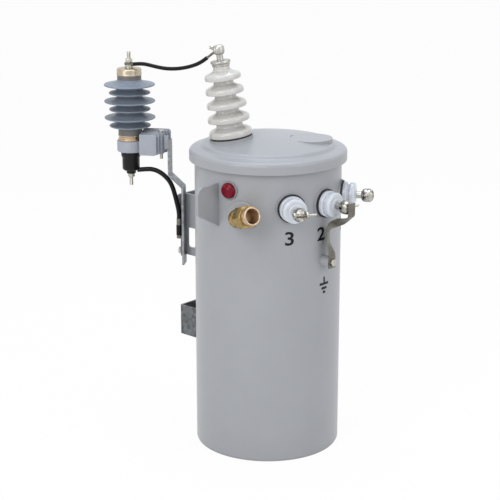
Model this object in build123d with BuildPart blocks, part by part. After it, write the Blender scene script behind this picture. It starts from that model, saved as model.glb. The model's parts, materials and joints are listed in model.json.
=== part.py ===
from build123d import *

import os
from math import cos, pi, radians, sin, tan

# A pole mounted single-phase transformer. Millimetres, +Z up, the origin at the centre of
# the tank's underside. -Y is the side of the low-voltage bushings, +Y the side that faces
# the pole. Angles round the tank run from -Y towards +X.

# Tank
TANK_R = 180.0
WALL = 3.0
BASE_T = 5.0
BASE_INSET = 1.5
WALL_TOP = 748.0
RIM_OUT = 8.0
RIM_R = TANK_R + RIM_OUT
RIM_T = 4.0
WELD_IN = 4.0

# Lid, a sheet whose middle line is given
LID_SHEET = 3.0
RIM_CLEAR = 2.0
SKIRT_R = RIM_R + RIM_CLEAR + LID_SHEET / 2
SHOULDER_W = 25.5
GROOVE_R = SKIRT_R - SHOULDER_W
TOP_EDGE_W = 8.0
TOP_R = GROOVE_R - TOP_EDGE_W
LIP_W = 10.0
SKIRT_LOW = WALL_TOP - 22.0
SHOULDER_Z = WALL_TOP + 2.5
GROOVE_Z = WALL_TOP + 8.5
TOP_EDGE_Z = WALL_TOP + 18.0
CROWN_Z = WALL_TOP + 29.5
LIP_BEND = 6.0
GROOVE_BEND = 8.0
SHOULDER_BEND = 8.0
GASKET_IN = TANK_R - 5.0
GASKET_OUT = TANK_R + 4.0

# Pads of the lid, a sloped one under the high-voltage bushing and a level blank one
HV_ANGLE = -138.5
PAD_RHO = TANK_R / 2
PAD_Z = WALL_TOP + 30.0
PAD_R = 54.0
PAD_DEPTH = 12.0
HV_TILT = 7.8
BLANK_RHO = TANK_R - 75.0
BLANK_Z = WALL_TOP + 28.0
BLANK_R = 52.0

# High-voltage bushing, heights along its own axis from the pad
HV_GASKET_R = 51.0
HV_GASKET_T = 4.0
HV_SHANK_R = 31.0
HV_SHANK_LEN = 60.0
HV_SHANK_END = 2.0
HV_HOLE_CLEAR = 1.0
HV_FLANGE_R = 53.0
HV_FLANGE_TOP = 23.0
HV_FLANGE_EDGE = 5.0
HV_FLANGE_RISE = 3.0
HV_SHED_R = (51.5, 49.0, 47.0, 44.5)
HV_NECK_R = (32.5, 28.5, 26.5, 24.5, 20.5)
HV_SHED_FIRST = 48.5
HV_SHED_PITCH = 34.3
HV_UNDER_RISE = 3.0
HV_DRIP_IN = 6.0
HV_DRIP_W = 3.0
HV_DRIP_DEEP = 5.5
HV_RIM_LOW = 8.0
HV_RIM_TOP = 4.0
HV_SHED_RISE = 14.0
HV_BODY_TOP = 176.0
HV_ROD_R = 8.0
HV_ROD_BACK = 12.0
HV_CAP_R = 24.5
HV_CAP_T = 13.0
HV_CLAMP_LOW = HV_BODY_TOP + 27.0
HV_ROD_TOP = HV_CLAMP_LOW + 3.0
HV_CLAMP_TOP = HV_CLAMP_LOW + 23.0
HV_CLAMP_R = 13.5
HV_BOLT_R = 4.0
HV_BOLT_AT = HV_CLAMP_LOW + 16.5
HV_BOLT_HEAD_R = 6.5
HV_BOLT_HEAD_T = 6.0
HV_BOLT_REACH = 17.0
HV_CHEEK = 6.0
HV_BOLT_START = 5.5
HV_BOLT_CLEAR = 1.0

# Low-voltage bushings, lengths outward from the tank wall
LV_Z = 643.0
LV_ANGLES = (-31.0, 0.0, 31.0)
LV_COLLAR_R = 37.0
LV_COLLAR_T = 3.0
LV_GASKET_R = 34.5
LV_GASKET_T = 4.0
LV_SHANK_R = 21.0
LV_SHANK_LEN = 28.0
LV_SHANK_END = 2.0
LV_HOLE_CLEAR = 1.0
LV_FLANGE_R = 31.5
LV_FLANGE_LEN = 10.0
LV_GROOVE_R = 25.5
LV_GROOVE_LEN = 6.0
LV_GROOVE_SLOPE = 1.0
LV_BELL_R = 30.0
LV_BELL_LEN = 14.0
LV_NOSE_R = 17.0
LV_NOSE_RISE = 2.0
LV_STUD_R = 8.5
LV_STUD_SHOWN = 13.0
LV_STUD_IN_CLAMP = 7.0
LV_STUD_BACK = 10.0
LV_CONNECTOR_R = 16.5
LV_CONNECTOR_LEN = 31.0
LV_CONNECTOR_ROUND = 5.5
LV_SLOT_W = 7.0
LV_BOLT_R = 3.5
LV_BOLT_IN = 9.0
LV_BOLT_REACH = 38.0
LV_CHEEK = 12.5
LV_BOLT_HEAD_R = 7.0
LV_BOLT_HEAD_T = 5.0
LV_BOLT_CLEAR = 1.0
LV_NUT_T = 6.0

# Ground strap, pad and bolt below the middle bushing
STRAP_W = 25.0
STRAP_T = 2.5
STRAP_TANG = 12.0
STRAP_DROP = 21.0
STRAP_CORNER_OUT = 30.0
STRAP_CORNER_DROP = 47.0
STRAP_NEAR = 12.5
STRAP_NEAR_DROP = 65.0
STRAP_NEAR_LEN = 33.0
STRAP_FOOT = 20.0
STRAP_BENDS = (10.0, 18.0, 14.0, 18.0, 18.0)
GROUND_Z = 500.0
GROUND_PAD_R = 14.0
GROUND_PAD_LEN = 24.0
GROUND_HEAD_R = 9.5
GROUND_HEAD_T = 6.5
HEAD_CHAMFER = 0.8

# Brackets that hang the tank, with their webs on one plane
WEB_Y = TANK_R + 70.0
BRACKET_T = 5.0
UPPER_W = 90.0
UPPER_TOP = 604.0
UPPER_LOW = 443.0
EAR_W = 130.0
EAR_LOW = 535.0
EAR_ROUND = 6.0
WINDOW_LOW = 464.0
WINDOW_TOP = 516.0
WINDOW_POST = 16.0
WINDOW_FOOT = 16.0
WINDOW_ROUND = 6.0
UPPER_BOLT_Z = 556.0
BOLT_SPACING = 285.75
MOUTH_W = 68.0
MOUTH_H = 64.0
MOUTH_DROP = 41.0
MOUTH_TOP = UPPER_BOLT_Z - MOUTH_DROP
MOUTH_LOW = MOUTH_TOP - MOUTH_H
MOUTH_ROUND = 10.0
BOLT_SLOT_R = 9.0
LOWER_W = 120.0
LOWER_TOP = 308.0
LOWER_LOW = 230.0
LOWER_BOLT_Z = UPPER_BOLT_Z - BOLT_SPACING
LOWER_SLOT_LEN = 38.0
BEND_R = 4.0

# Lifting lugs
LUG_T = 8.0
LUG_OUT = 71.0
LUG_WELD_LOW = 590.0
LUG_WELD_TOP = 694.0
LUG_EDGE_LOW = 627.0
LUG_ROUND = 22.0
LUG_EDGE_ROUND = 8.0

# Signal lamp
LAMP_ANGLE = -78.8
LAMP_Z = 682.0
LAMP_BEZEL_R = 22.0
LAMP_BEZEL_T = 4.0
LAMP_R = 19.0
LAMP_DOME = 11.0
LAMP_ROUND = 9.0

# Brass fitting on its boss
FITTING_ANGLE = -68.5
FITTING_Z = 624.0
BOSS_R = 35.5
BOSS_T = 6.0
BOSS_ROUND = 2.0
NECK_R = 20.0
NECK_OUT = 28.0
BALL_R = 22.5
HEX_FLATS = 50.0
HEX_START = 20.0
HEX_LEN = 40.0
SOCKET_R = 22.0
SOCKET_END = 70.0
SOCKET_BORE_R = 17.5
SOCKET_DEPTH = 26.0
FITTING_TURN = -16.0
FITTING_LIFT = 17.0

# Bar that carries the arrester, welded by its edge to the side of the upper bracket
BAR_ANGLE = -147.0
BAR_IN = 10.0
BAR_W = 30.0
BAR_T = 5.0
BAR_WELD = 4.0
BAR_TOP = 745.0
BAR_STEP = 34.0
BAR_STEP_LOW = 625.0
BAR_STEP_TOP = 656.0
BAR_LOW = 422.0
BAR_BEND = 6.0

# Arrester, placed along the bar's own outward direction
ARRESTER_OUT = 137.0
ARM_Z = 713.5
ARM_EYE_R = 34.0
ARM_EYE_T = 29.0
ARM_EYE_TOP = ARM_Z + ARM_EYE_T
ARM_W = 44.0
BLOCK_LOW = ARM_Z - 5.0
BLOCK_TOP = ARM_Z + 54.0
BLOCK_ROUND = 7.0
BLOCK_CLEAR = 34.0
PLATE_COUNT = 6
PLATE_T = 6.0
PLATE_PITCH = 11.0
PLATE_BACK = 5.0
PLATE_LOWER = 1.0
CORE_INSET = 5.0
FOOT_W = 24.0
FOOT_INSET = 12.0
ARM_IN = 12.0
BRACKET_BOLT_OUT = 58.0
BRACKET_BOLT_R = 4.0
BRACKET_BOLT_HEAD_R = 7.5
BRACKET_BOLT_HEAD_T = 4.0
BRACKET_BOLT_DROP = 13.0
BASE_RING_R = 31.0
BASE_RING_T = 14.0
BASE_RING_TOP = ARM_EYE_TOP + BASE_RING_T
CORE_R = 30.0
SHED_TOP = ARM_Z + 169.5
SHED_PITCH = 41.5
SHED_COUNT = 3
BIG_SHED_R = 64.0
SMALL_SHED_R = 52.0
SHED_T = 4.0
SHED_RISE = 11.0
CORE_TOP = SHED_TOP + 24.0
CAP_R = 31.5
CAP_T = 16.5
CAP_TOP = CORE_TOP + CAP_T
CAP_RISE = 3.0
STUD_R = 5.0
TERMINAL_WASHER_R = 10.0
TERMINAL_WASHER_T = 6.0
LUG_LOW = CAP_TOP + CAP_RISE + TERMINAL_WASHER_T
JUMPER_LUG_T = 5.0
LUG_R = 11.5
LUG_BARREL = 4.4
NUT_LOW = LUG_LOW + JUMPER_LUG_T
NUT_T = 10.0
NUT_R = 9.0
STUD_TOP = NUT_LOW + 28.5

# Disconnector below the arrester
DISC_TOP_R = 24.5
DISC_R = 22.0
DISC_STEP_Z = ARM_Z - 17.0
DISC_STEP_RISE = 5.0
DISC_LOW = ARM_Z - 50.0
DISC_ROUND = 7.0
DISC_NECK_R = 12.0
DISC_NECK_LOW = ARM_Z - 58.0
DISC_NUT_T = 9.0
DISC_NUT_LOW = DISC_NECK_LOW - DISC_NUT_T
DISC_OUTLET = 8.0
DISC_STUD_LOW = ARM_Z - 88.5

# Leads: each route point is its place outward from the bar, across it, and its height
LEAD_ASIDE = 8.0
JUMPER_D = 9.5
GROUND_LEAD_D = 12.0
BEND_SHARE = 0.45
WIRE_R = 3.0
CRIMP_R = 7.0
CRIMP_LEN = 52.0
TONGUE_W = 14.0
TONGUE_T = 3.0
TONGUE_TOP = 499.0
TONGUE_LOW = 447.0
LUG_BOLT_Z = 460.0
JUMPER_ROUTE = [
    (123.3, -6.5, 935.0),
    (99.5, -15.3, 939.1),
    (71.1, -25.9, 935.1),
    (40.9, -37.0, 931.4),
    (10.7, -48.1, 932.7),
    (-16.8, -58.4, 938.0),
    (-40.8, -67.3, 945.6),
    (-62.2, -75.1, 956.1),
    (-76.4, -80.4, 967.5),
]
GROUND_ROUTE = [
    (112.0, 0.0, 665.5),
    (92.4, 0.0, 668.0),
    (76.2, 0.0, 666.5),
    (60.9, -1.0, 660.2),
    (46.7, -2.5, 649.5),
    (35.5, -4.0, 637.0),
    (27.7, -5.5, 620.0),
    (21.9, -7.0, 600.0),
    (16.8, -7.9, 579.0),
    (12.6, -8.1, 559.0),
    (12.6, -8.1, 544.0),
]


def around(angle, radius, height):
    """A point at this angle round the tank, radius from its axis and height."""
    return Vector(radius * sin(radians(angle)), -radius * cos(radians(angle)), height)


def outward_plane(angle, height, radius=TANK_R):
    """A plane on the tank wall whose normal points straight out."""
    out = around(angle, 1, 0)
    return Plane(origin=around(angle, radius, height), x_dir=(out.cross(Vector(0, 0, 1))) * -1, z_dir=out)


def section_of(axis_plane):
    """The plane that holds an axis plane's normal as its own upward direction."""
    return Plane(origin=axis_plane.origin, x_dir=axis_plane.x_dir, z_dir=axis_plane.y_dir * -1)


def turned(axis_plane, outline, radii=0.0):
    """A piece turned about the plane's normal from a closed outline of (radius, height)."""
    with BuildPart() as piece:
        with BuildSketch(section_of(axis_plane)):
            with BuildLine():
                FilletPolyline(*outline, radius=radii, close=True)
            make_face()
        revolve(axis=Axis(axis_plane.origin, axis_plane.z_dir))
    return piece


def save(piece, name):
    """Label a finished piece and write it under its own name."""
    piece.part.label = name
    export_step(piece.part, f"parts/{name}.step")


os.makedirs("parts", exist_ok=True)

tank_axis = Plane.XY

# Tank base, a flat plate under the wall
with BuildPart() as tank_base:
    with BuildSketch():
        Circle(TANK_R - BASE_INSET)
    extrude(amount=BASE_T)
    fillet(tank_base.edges().group_by(Axis.Z)[0], BASE_INSET)
save(tank_base, "tank_base")

# Tank wall with its turned-out rim and the holes for the low-voltage bushings
with BuildPart() as tank_wall:
    with BuildSketch(Plane.XZ):
        with BuildLine():
            Polyline(
                (TANK_R - WALL, BASE_T),
                (TANK_R, BASE_T),
                (TANK_R, WALL_TOP - RIM_T),
                (RIM_R, WALL_TOP - RIM_T),
                (RIM_R, WALL_TOP),
                (TANK_R - WALL, WALL_TOP),
                close=True,
            )
        make_face()
    revolve(axis=Axis.Z)
    for angle in LV_ANGLES:
        with BuildSketch(outward_plane(angle, LV_Z)):
            Circle(LV_SHANK_R + LV_HOLE_CLEAR)
        extrude(amount=2 * WALL, both=True, mode=Mode.SUBTRACT)
save(tank_wall, "tank_wall")

# Lid: crowned top, a groove, a sloped shoulder and a skirt over the rim
shoulder_slope = (GROOVE_Z - SHOULDER_Z) / SHOULDER_W


def under_shoulder(radius):
    """Height of the underside of the lid's shoulder at a radius."""
    middle = SHOULDER_Z + (SKIRT_R - radius) * shoulder_slope
    return middle - LID_SHEET / 2 * (1 + shoulder_slope**2) ** 0.5


hv_out = around(HV_ANGLE, 1, 0)
hv_up = hv_out * sin(radians(HV_TILT)) + Vector(0, 0, cos(radians(HV_TILT)))
hv_side = hv_out.cross(Vector(0, 0, 1))
hv_plane = Plane(origin=around(HV_ANGLE, PAD_RHO, PAD_Z), x_dir=hv_side, z_dir=hv_up)
blank_plane = Plane(origin=around(HV_ANGLE + 180, BLANK_RHO, BLANK_Z), x_dir=hv_side, z_dir=(0, 0, 1))

with BuildPart() as lid:
    with BuildSketch(Plane.XZ):
        with BuildLine():
            crown = TangentArc((0, CROWN_Z), (TOP_R - LIP_W, TOP_EDGE_Z), tangent=(1, 0))
            lip = crown @ 1 + (crown % 1) * LIP_W
            FilletPolyline(
                crown @ 1,
                lip,
                (GROOVE_R, GROOVE_Z),
                (SKIRT_R, SHOULDER_Z),
                (SKIRT_R, SKIRT_LOW),
                radius=[LIP_BEND, GROOVE_BEND, SHOULDER_BEND],
            )
        trace(line_width=LID_SHEET)
    revolve(axis=Axis.Z)
    for pad_plane, pad_r in ((hv_plane, PAD_R), (blank_plane, BLANK_R)):
        with BuildSketch(pad_plane):
            Circle(pad_r)
        extrude(amount=-PAD_DEPTH)
        with BuildSketch(pad_plane):
            Circle(pad_r)
        extrude(amount=PAD_DEPTH, mode=Mode.SUBTRACT)
        with BuildSketch(pad_plane.offset(-LID_SHEET)):
            Circle(pad_r - LID_SHEET)
        extrude(amount=-2 * PAD_DEPTH, mode=Mode.SUBTRACT)
    with BuildSketch(hv_plane):
        Circle(HV_SHANK_R + HV_HOLE_CLEAR)
    extrude(amount=PAD_DEPTH, both=True, mode=Mode.SUBTRACT)
save(lid, "lid")

# Gasket between the wall's rim and the sloped underside of the shoulder
lid_gasket = turned(
    tank_axis,
    [
        (GASKET_IN, WALL_TOP),
        (GASKET_OUT, WALL_TOP),
        (GASKET_OUT, under_shoulder(GASKET_OUT)),
        (GASKET_IN, under_shoulder(GASKET_IN)),
    ],
)
save(lid_gasket, "lid_gasket")

# High-voltage bushing on its sloped pad
hv_gasket = turned(
    hv_plane,
    [(HV_SHANK_R, 0), (HV_GASKET_R, 0), (HV_GASKET_R, HV_GASKET_T), (HV_SHANK_R, HV_GASKET_T)],
)
save(hv_gasket, "hv_gasket")


def hv_outline():
    """Outline and corner radii of the high-voltage porcelain, from its shank to its top."""
    points = [
        (HV_ROD_R, -HV_SHANK_LEN),
        (HV_SHANK_R, -HV_SHANK_LEN),
        (HV_SHANK_R, HV_GASKET_T),
        (HV_FLANGE_R, HV_GASKET_T),
        (HV_FLANGE_R, HV_FLANGE_TOP - HV_FLANGE_EDGE),
        (HV_NECK_R[0], HV_FLANGE_TOP + HV_FLANGE_RISE),
    ]
    radii = [0, HV_SHANK_END, 0, 1.5, 7, 3]
    for index, shed_r in enumerate(HV_SHED_R):
        middle = HV_SHED_FIRST + index * HV_SHED_PITCH
        below = HV_NECK_R[index]
        above = HV_NECK_R[index + 1]
        drip_r = shed_r - HV_DRIP_W
        points += [
            (below, middle - HV_UNDER_RISE),
            (drip_r - HV_DRIP_IN, middle - HV_DRIP_DEEP),
            (drip_r, middle - HV_RIM_LOW),
            (shed_r, middle - HV_RIM_LOW),
            (shed_r, middle + HV_RIM_TOP),
            (above, middle + HV_SHED_RISE),
        ]
        radii += [3, 2, 0.8, 1.8, 4, 4]
    points += [(HV_NECK_R[-1], HV_BODY_TOP), (HV_ROD_R, HV_BODY_TOP)]
    radii += [2, 0]
    return points, radii


hv_porcelain = turned(hv_plane, *hv_outline())
save(hv_porcelain, "hv_porcelain")

hv_cap = turned(
    hv_plane,
    [
        (HV_ROD_R, HV_BODY_TOP),
        (HV_CAP_R, HV_BODY_TOP),
        (HV_CAP_R, HV_BODY_TOP + HV_CAP_T),
        (HV_ROD_R, HV_BODY_TOP + HV_CAP_T),
    ],
    [0, 1.5, 3.5, 0],
)
save(hv_cap, "hv_cap")

hv_rod = turned(
    hv_plane,
    [
        (0, -HV_SHANK_LEN - HV_ROD_BACK),
        (HV_ROD_R, -HV_SHANK_LEN - HV_ROD_BACK),
        (HV_ROD_R, HV_ROD_TOP),
        (0, HV_ROD_TOP),
    ],
    [0, 1.5, 1.5, 0],
)
save(hv_rod, "hv_rod")

# Low-voltage bushings, each with its welded collar, gasket, porcelain, stud and clamp
LV_BACK = LV_COLLAR_T + LV_GASKET_T
LV_GROOVE_AT = LV_BACK + LV_FLANGE_LEN
LV_BELL_AT = LV_GROOVE_AT + LV_GROOVE_LEN
LV_FACE = LV_BELL_AT + LV_BELL_LEN
LV_CLAMP_AT = LV_FACE + LV_STUD_SHOWN
LV_STUD_END = LV_CLAMP_AT + LV_STUD_IN_CLAMP
LV_CLAMP_END = LV_CLAMP_AT + LV_CONNECTOR_LEN
LV_BOLT_OUT = LV_CLAMP_END - LV_BOLT_IN


def lv_porcelain(plane):
    """One low-voltage porcelain: flange, groove, bell and a rounded nose."""
    return turned(
        plane,
        [
            (LV_STUD_R, -LV_SHANK_LEN),
            (LV_SHANK_R, -LV_SHANK_LEN),
            (LV_SHANK_R, LV_BACK),
            (LV_FLANGE_R, LV_BACK),
            (LV_FLANGE_R, LV_GROOVE_AT),
            (LV_GROOVE_R, LV_GROOVE_AT + LV_GROOVE_SLOPE),
            (LV_GROOVE_R, LV_BELL_AT - LV_GROOVE_SLOPE),
            (LV_BELL_R, LV_BELL_AT),
            (LV_BELL_R, LV_FACE),
            (LV_NOSE_R, LV_FACE),
            (LV_STUD_R, LV_FACE + LV_NOSE_RISE),
        ],
        [0, LV_SHANK_END, 0, 1.5, 2.5, 1, 1, 2.5, 4, 1.5, 0],
    )


def joined(pieces):
    """One node of several like solids that don't touch."""
    with BuildPart() as node:
        for piece in pieces:
            add(piece.part)
    return node


with BuildPart() as tank_cylinder:
    Cylinder(TANK_R, 2 * WALL_TOP)

collars, gaskets, porcelains, studs, connectors, clamp_bolts = [], [], [], [], [], []
for angle in LV_ANGLES:
    plane = outward_plane(angle, LV_Z)
    with BuildPart() as collar:
        with BuildSketch(plane.offset(LV_COLLAR_T)):
            Circle(LV_COLLAR_R)
            Circle(LV_SHANK_R + LV_HOLE_CLEAR, mode=Mode.SUBTRACT)
        extrude(amount=-4 * LV_COLLAR_T)
        add(tank_cylinder.part, mode=Mode.SUBTRACT)
    collars.append(collar)
    gaskets.append(
        turned(
            plane,
            [
                (LV_SHANK_R, LV_COLLAR_T),
                (LV_GASKET_R, LV_COLLAR_T),
                (LV_GASKET_R, LV_BACK),
                (LV_SHANK_R, LV_BACK),
            ],
        )
    )
    porcelains.append(lv_porcelain(plane))
    stud_back = -LV_SHANK_LEN - LV_STUD_BACK
    studs.append(
        turned(
            plane,
            [(0, stud_back), (LV_STUD_R, stud_back), (LV_STUD_R, LV_STUD_END), (0, LV_STUD_END)],
            [0, 1, 1, 0],
        )
    )
    bolt_plane = Plane(origin=plane.origin + plane.z_dir * LV_BOLT_OUT, x_dir=plane.y_dir, z_dir=plane.x_dir)
    with BuildPart() as connector:
        with BuildSketch(plane.offset(LV_CLAMP_AT)):
            Circle(LV_CONNECTOR_R)
        extrude(amount=LV_CONNECTOR_LEN)
        fillet(connector.edges().filter_by(GeomType.CIRCLE), LV_CONNECTOR_ROUND)
        with BuildSketch(plane.offset(LV_CLAMP_AT)):
            Circle(LV_STUD_R)
        extrude(amount=LV_STUD_END - LV_CLAMP_AT, mode=Mode.SUBTRACT)
        with BuildSketch(plane.offset(LV_CLAMP_END)):
            Rectangle(LV_SLOT_W, 3 * LV_CONNECTOR_R)
        extrude(amount=LV_STUD_END - LV_CLAMP_END, mode=Mode.SUBTRACT)
        with BuildSketch(bolt_plane):
            Circle(LV_BOLT_R)
        extrude(amount=2 * LV_CONNECTOR_R, both=True, mode=Mode.SUBTRACT)
        for way in (-1, 1):
            with BuildSketch(bolt_plane.offset(way * LV_CHEEK)):
                Circle(LV_BOLT_HEAD_R + LV_BOLT_CLEAR)
            extrude(amount=way * LV_CONNECTOR_R, mode=Mode.SUBTRACT)
    connectors.append(connector)
    with BuildPart() as clamp_bolt:
        with BuildSketch(bolt_plane.offset(-LV_CHEEK)):
            Circle(LV_BOLT_R)
        extrude(amount=LV_CHEEK + LV_BOLT_REACH)
        for start, thick in ((-LV_CHEEK - LV_BOLT_HEAD_T, LV_BOLT_HEAD_T), (LV_CHEEK, LV_NUT_T)):
            with BuildSketch(bolt_plane.offset(start)):
                RegularPolygon(LV_BOLT_HEAD_R, 6)
            extrude(amount=thick)
    clamp_bolts.append(clamp_bolt)
save(joined(collars), "lv_collars")
save(joined(gaskets), "lv_gaskets")
save(joined(porcelains), "lv_porcelains")
save(joined(studs), "lv_studs")
save(joined(connectors), "lv_connectors")
save(joined(clamp_bolts), "lv_clamp_bolts")

# Lifting lugs on both sides
for side, name in ((-1, "lifting_lug_left"), (1, "lifting_lug_right")):
    with BuildPart() as lifting_lug:
        with BuildSketch(Plane.XZ):
            with BuildLine():
                FilletPolyline(
                    (side * (TANK_R - WALL), LUG_WELD_LOW),
                    (side * TANK_R, LUG_WELD_LOW),
                    (side * (TANK_R + LUG_OUT), LUG_EDGE_LOW),
                    (side * (TANK_R + LUG_OUT), LUG_WELD_TOP),
                    (side * (TANK_R - WALL), LUG_WELD_TOP),
                    radius=[0, 0, LUG_EDGE_ROUND, LUG_ROUND, 0],
                    close=True,
                )
            make_face()
        extrude(amount=LUG_T / 2, both=True)
        add(tank_cylinder.part, mode=Mode.SUBTRACT)
    save(lifting_lug, name)


# Upper bracket: a web with ears and a bolt mouth, and two side plates with windows
with BuildPart() as upper_bracket:
    with BuildSketch(Plane.XZ.offset(-WEB_Y)):
        with Locations((0, (UPPER_LOW + UPPER_TOP) / 2)):
            Rectangle(UPPER_W, UPPER_TOP - UPPER_LOW)
        with Locations((0, (EAR_LOW + UPPER_TOP) / 2)):
            RectangleRounded(EAR_W, UPPER_TOP - EAR_LOW, EAR_ROUND)
        with Locations((0, (MOUTH_LOW + MOUTH_TOP) / 2)):
            RectangleRounded(MOUTH_W, MOUTH_TOP - MOUTH_LOW, MOUTH_ROUND, mode=Mode.SUBTRACT)
        with Locations((0, (MOUTH_TOP + UPPER_BOLT_Z) / 2)):
            slot_len = UPPER_BOLT_Z - MOUTH_TOP + 2 * BOLT_SLOT_R
            SlotOverall(slot_len, 2 * BOLT_SLOT_R, rotation=90, mode=Mode.SUBTRACT)
    extrude(amount=BRACKET_T)
    for side_x in (-UPPER_W / 2, UPPER_W / 2 - BRACKET_T):
        with BuildSketch(Plane.YZ.offset(side_x)):
            with Locations((WEB_Y / 2, (UPPER_LOW + UPPER_TOP) / 2)):
                Rectangle(WEB_Y - 2 * BRACKET_T, UPPER_TOP - UPPER_LOW)
            window_far = WEB_Y - WINDOW_POST
            window_near = TANK_R + WINDOW_FOOT
            with Locations(((window_far + window_near) / 2, (WINDOW_LOW + WINDOW_TOP) / 2)):
                RectangleRounded(
                    window_far - window_near, WINDOW_TOP - WINDOW_LOW, WINDOW_ROUND, mode=Mode.SUBTRACT
                )
        extrude(amount=BRACKET_T)
    add(tank_cylinder.part, mode=Mode.SUBTRACT)
save(upper_bracket, "upper_bracket")

# Lower bracket: a wider, shorter channel with one slot
with BuildPart() as lower_bracket:
    with BuildSketch(Plane.XY.offset(LOWER_LOW)):
        with Locations((0, WEB_Y / 2)):
            Rectangle(LOWER_W, WEB_Y)
    extrude(amount=LOWER_TOP - LOWER_LOW)
    fillet(lower_bracket.edges().filter_by(Axis.Z).group_by(Axis.Y)[-1], BEND_R)
    with BuildSketch(Plane.XY.offset(LOWER_LOW)):
        with Locations((0, WEB_Y / 2)):
            Rectangle(LOWER_W - 2 * BRACKET_T, WEB_Y - 2 * BRACKET_T)
    extrude(amount=LOWER_TOP - LOWER_LOW, mode=Mode.SUBTRACT)
    add(tank_cylinder.part, mode=Mode.SUBTRACT)
    with BuildSketch(Plane.XZ.offset(-WEB_Y + 2 * BRACKET_T)):
        with Locations((0, LOWER_BOLT_Z)):
            SlotOverall(LOWER_SLOT_LEN, 2 * BOLT_SLOT_R, rotation=90)
    extrude(amount=-3 * BRACKET_T, mode=Mode.SUBTRACT)
save(lower_bracket, "lower_bracket")

# Ground strap from the middle clamp down to its pad
strap_end = TANK_R + LV_CLAMP_END
pad_face = TANK_R + GROUND_PAD_LEN
with BuildPart() as ground_strap:
    with BuildSketch(Plane.YZ):
        with BuildLine():
            FilletPolyline(
                (-strap_end - STRAP_T / 2, LV_Z + STRAP_TANG),
                (-strap_end - STRAP_T / 2, LV_Z - STRAP_DROP),
                (-TANK_R - STRAP_CORNER_OUT, LV_Z - STRAP_CORNER_DROP),
                (-TANK_R - STRAP_NEAR, LV_Z - STRAP_NEAR_DROP),
                (-TANK_R - STRAP_NEAR, LV_Z - STRAP_NEAR_DROP - STRAP_NEAR_LEN),
                (-pad_face - STRAP_T / 2, GROUND_Z + STRAP_FOOT),
                (-pad_face - STRAP_T / 2, GROUND_Z - GROUND_PAD_R),
                radius=list(STRAP_BENDS),
            )
        trace(line_width=STRAP_T)
    extrude(amount=STRAP_W / 2, both=True)
save(ground_strap, "ground_strap")

with BuildPart() as ground_pad:
    with BuildSketch(outward_plane(0, GROUND_Z).offset(GROUND_PAD_LEN)):
        Circle(GROUND_PAD_R)
    extrude(amount=-GROUND_PAD_LEN - WELD_IN)
    add(tank_cylinder.part, mode=Mode.SUBTRACT)
save(ground_pad, "ground_pad")

ground_bolt_plane = outward_plane(0, GROUND_Z).offset(GROUND_PAD_LEN + STRAP_T)
with BuildPart() as ground_bolt:
    with BuildSketch(ground_bolt_plane):
        RegularPolygon(GROUND_HEAD_R, 6)
    extrude(amount=GROUND_HEAD_T)
    chamfer(ground_bolt.edges().group_by(Axis.Y)[0], HEAD_CHAMFER)
save(ground_bolt, "ground_bolt")

# Signal lamp
lamp_plane = outward_plane(LAMP_ANGLE, LAMP_Z)
with BuildPart() as lamp_bezel:
    with BuildSketch(lamp_plane.offset(LAMP_BEZEL_T)):
        Circle(LAMP_BEZEL_R)
    extrude(amount=-LAMP_BEZEL_T - WELD_IN)
    add(tank_cylinder.part, mode=Mode.SUBTRACT)
save(lamp_bezel, "lamp_bezel")
signal_lamp = turned(
    lamp_plane,
    [
        (0, LAMP_BEZEL_T),
        (LAMP_R, LAMP_BEZEL_T),
        (LAMP_R, LAMP_BEZEL_T + LAMP_DOME),
        (0, LAMP_BEZEL_T + LAMP_DOME),
    ],
    [0, 0, LAMP_ROUND, 0],
)
save(signal_lamp, "signal_lamp")

# Brass fitting: boss, then an elbow with a hexagon and a round socket
fitting_plane = outward_plane(FITTING_ANGLE, FITTING_Z)
with BuildPart() as fitting_boss:
    with BuildSketch(fitting_plane.offset(BOSS_T)):
        Circle(BOSS_R)
    extrude(amount=-BOSS_T - WELD_IN)
    add(tank_cylinder.part, mode=Mode.SUBTRACT)
    fillet(fitting_boss.edges().filter_by(GeomType.CIRCLE), BOSS_ROUND)
save(fitting_boss, "fitting_boss")

bend_point = around(FITTING_ANGLE, TANK_R + NECK_OUT, FITTING_Z)
turn = around(FITTING_TURN, 1, 0)
socket_dir = turn * cos(radians(FITTING_LIFT)) + Vector(0, 0, sin(radians(FITTING_LIFT)))
socket_plane = Plane(origin=bend_point, x_dir=turn.cross(Vector(0, 0, 1)), z_dir=socket_dir)
with BuildPart() as brass_elbow:
    with BuildSketch(fitting_plane.offset(BOSS_T)):
        Circle(NECK_R)
    extrude(amount=NECK_OUT - BOSS_T)
    with Locations(Location(bend_point)):
        Sphere(BALL_R)
    with BuildSketch(socket_plane.offset(HEX_START)):
        RegularPolygon(HEX_FLATS / 2, 6, major_radius=False)
    extrude(amount=HEX_LEN)
    with BuildSketch(socket_plane):
        Circle(SOCKET_R)
    extrude(amount=SOCKET_END)
    with BuildSketch(socket_plane.offset(SOCKET_END)):
        Circle(SOCKET_BORE_R)
    extrude(amount=-SOCKET_DEPTH, mode=Mode.SUBTRACT)
    add(fitting_boss.part, mode=Mode.SUBTRACT)
save(brass_elbow, "brass_elbow")

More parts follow.
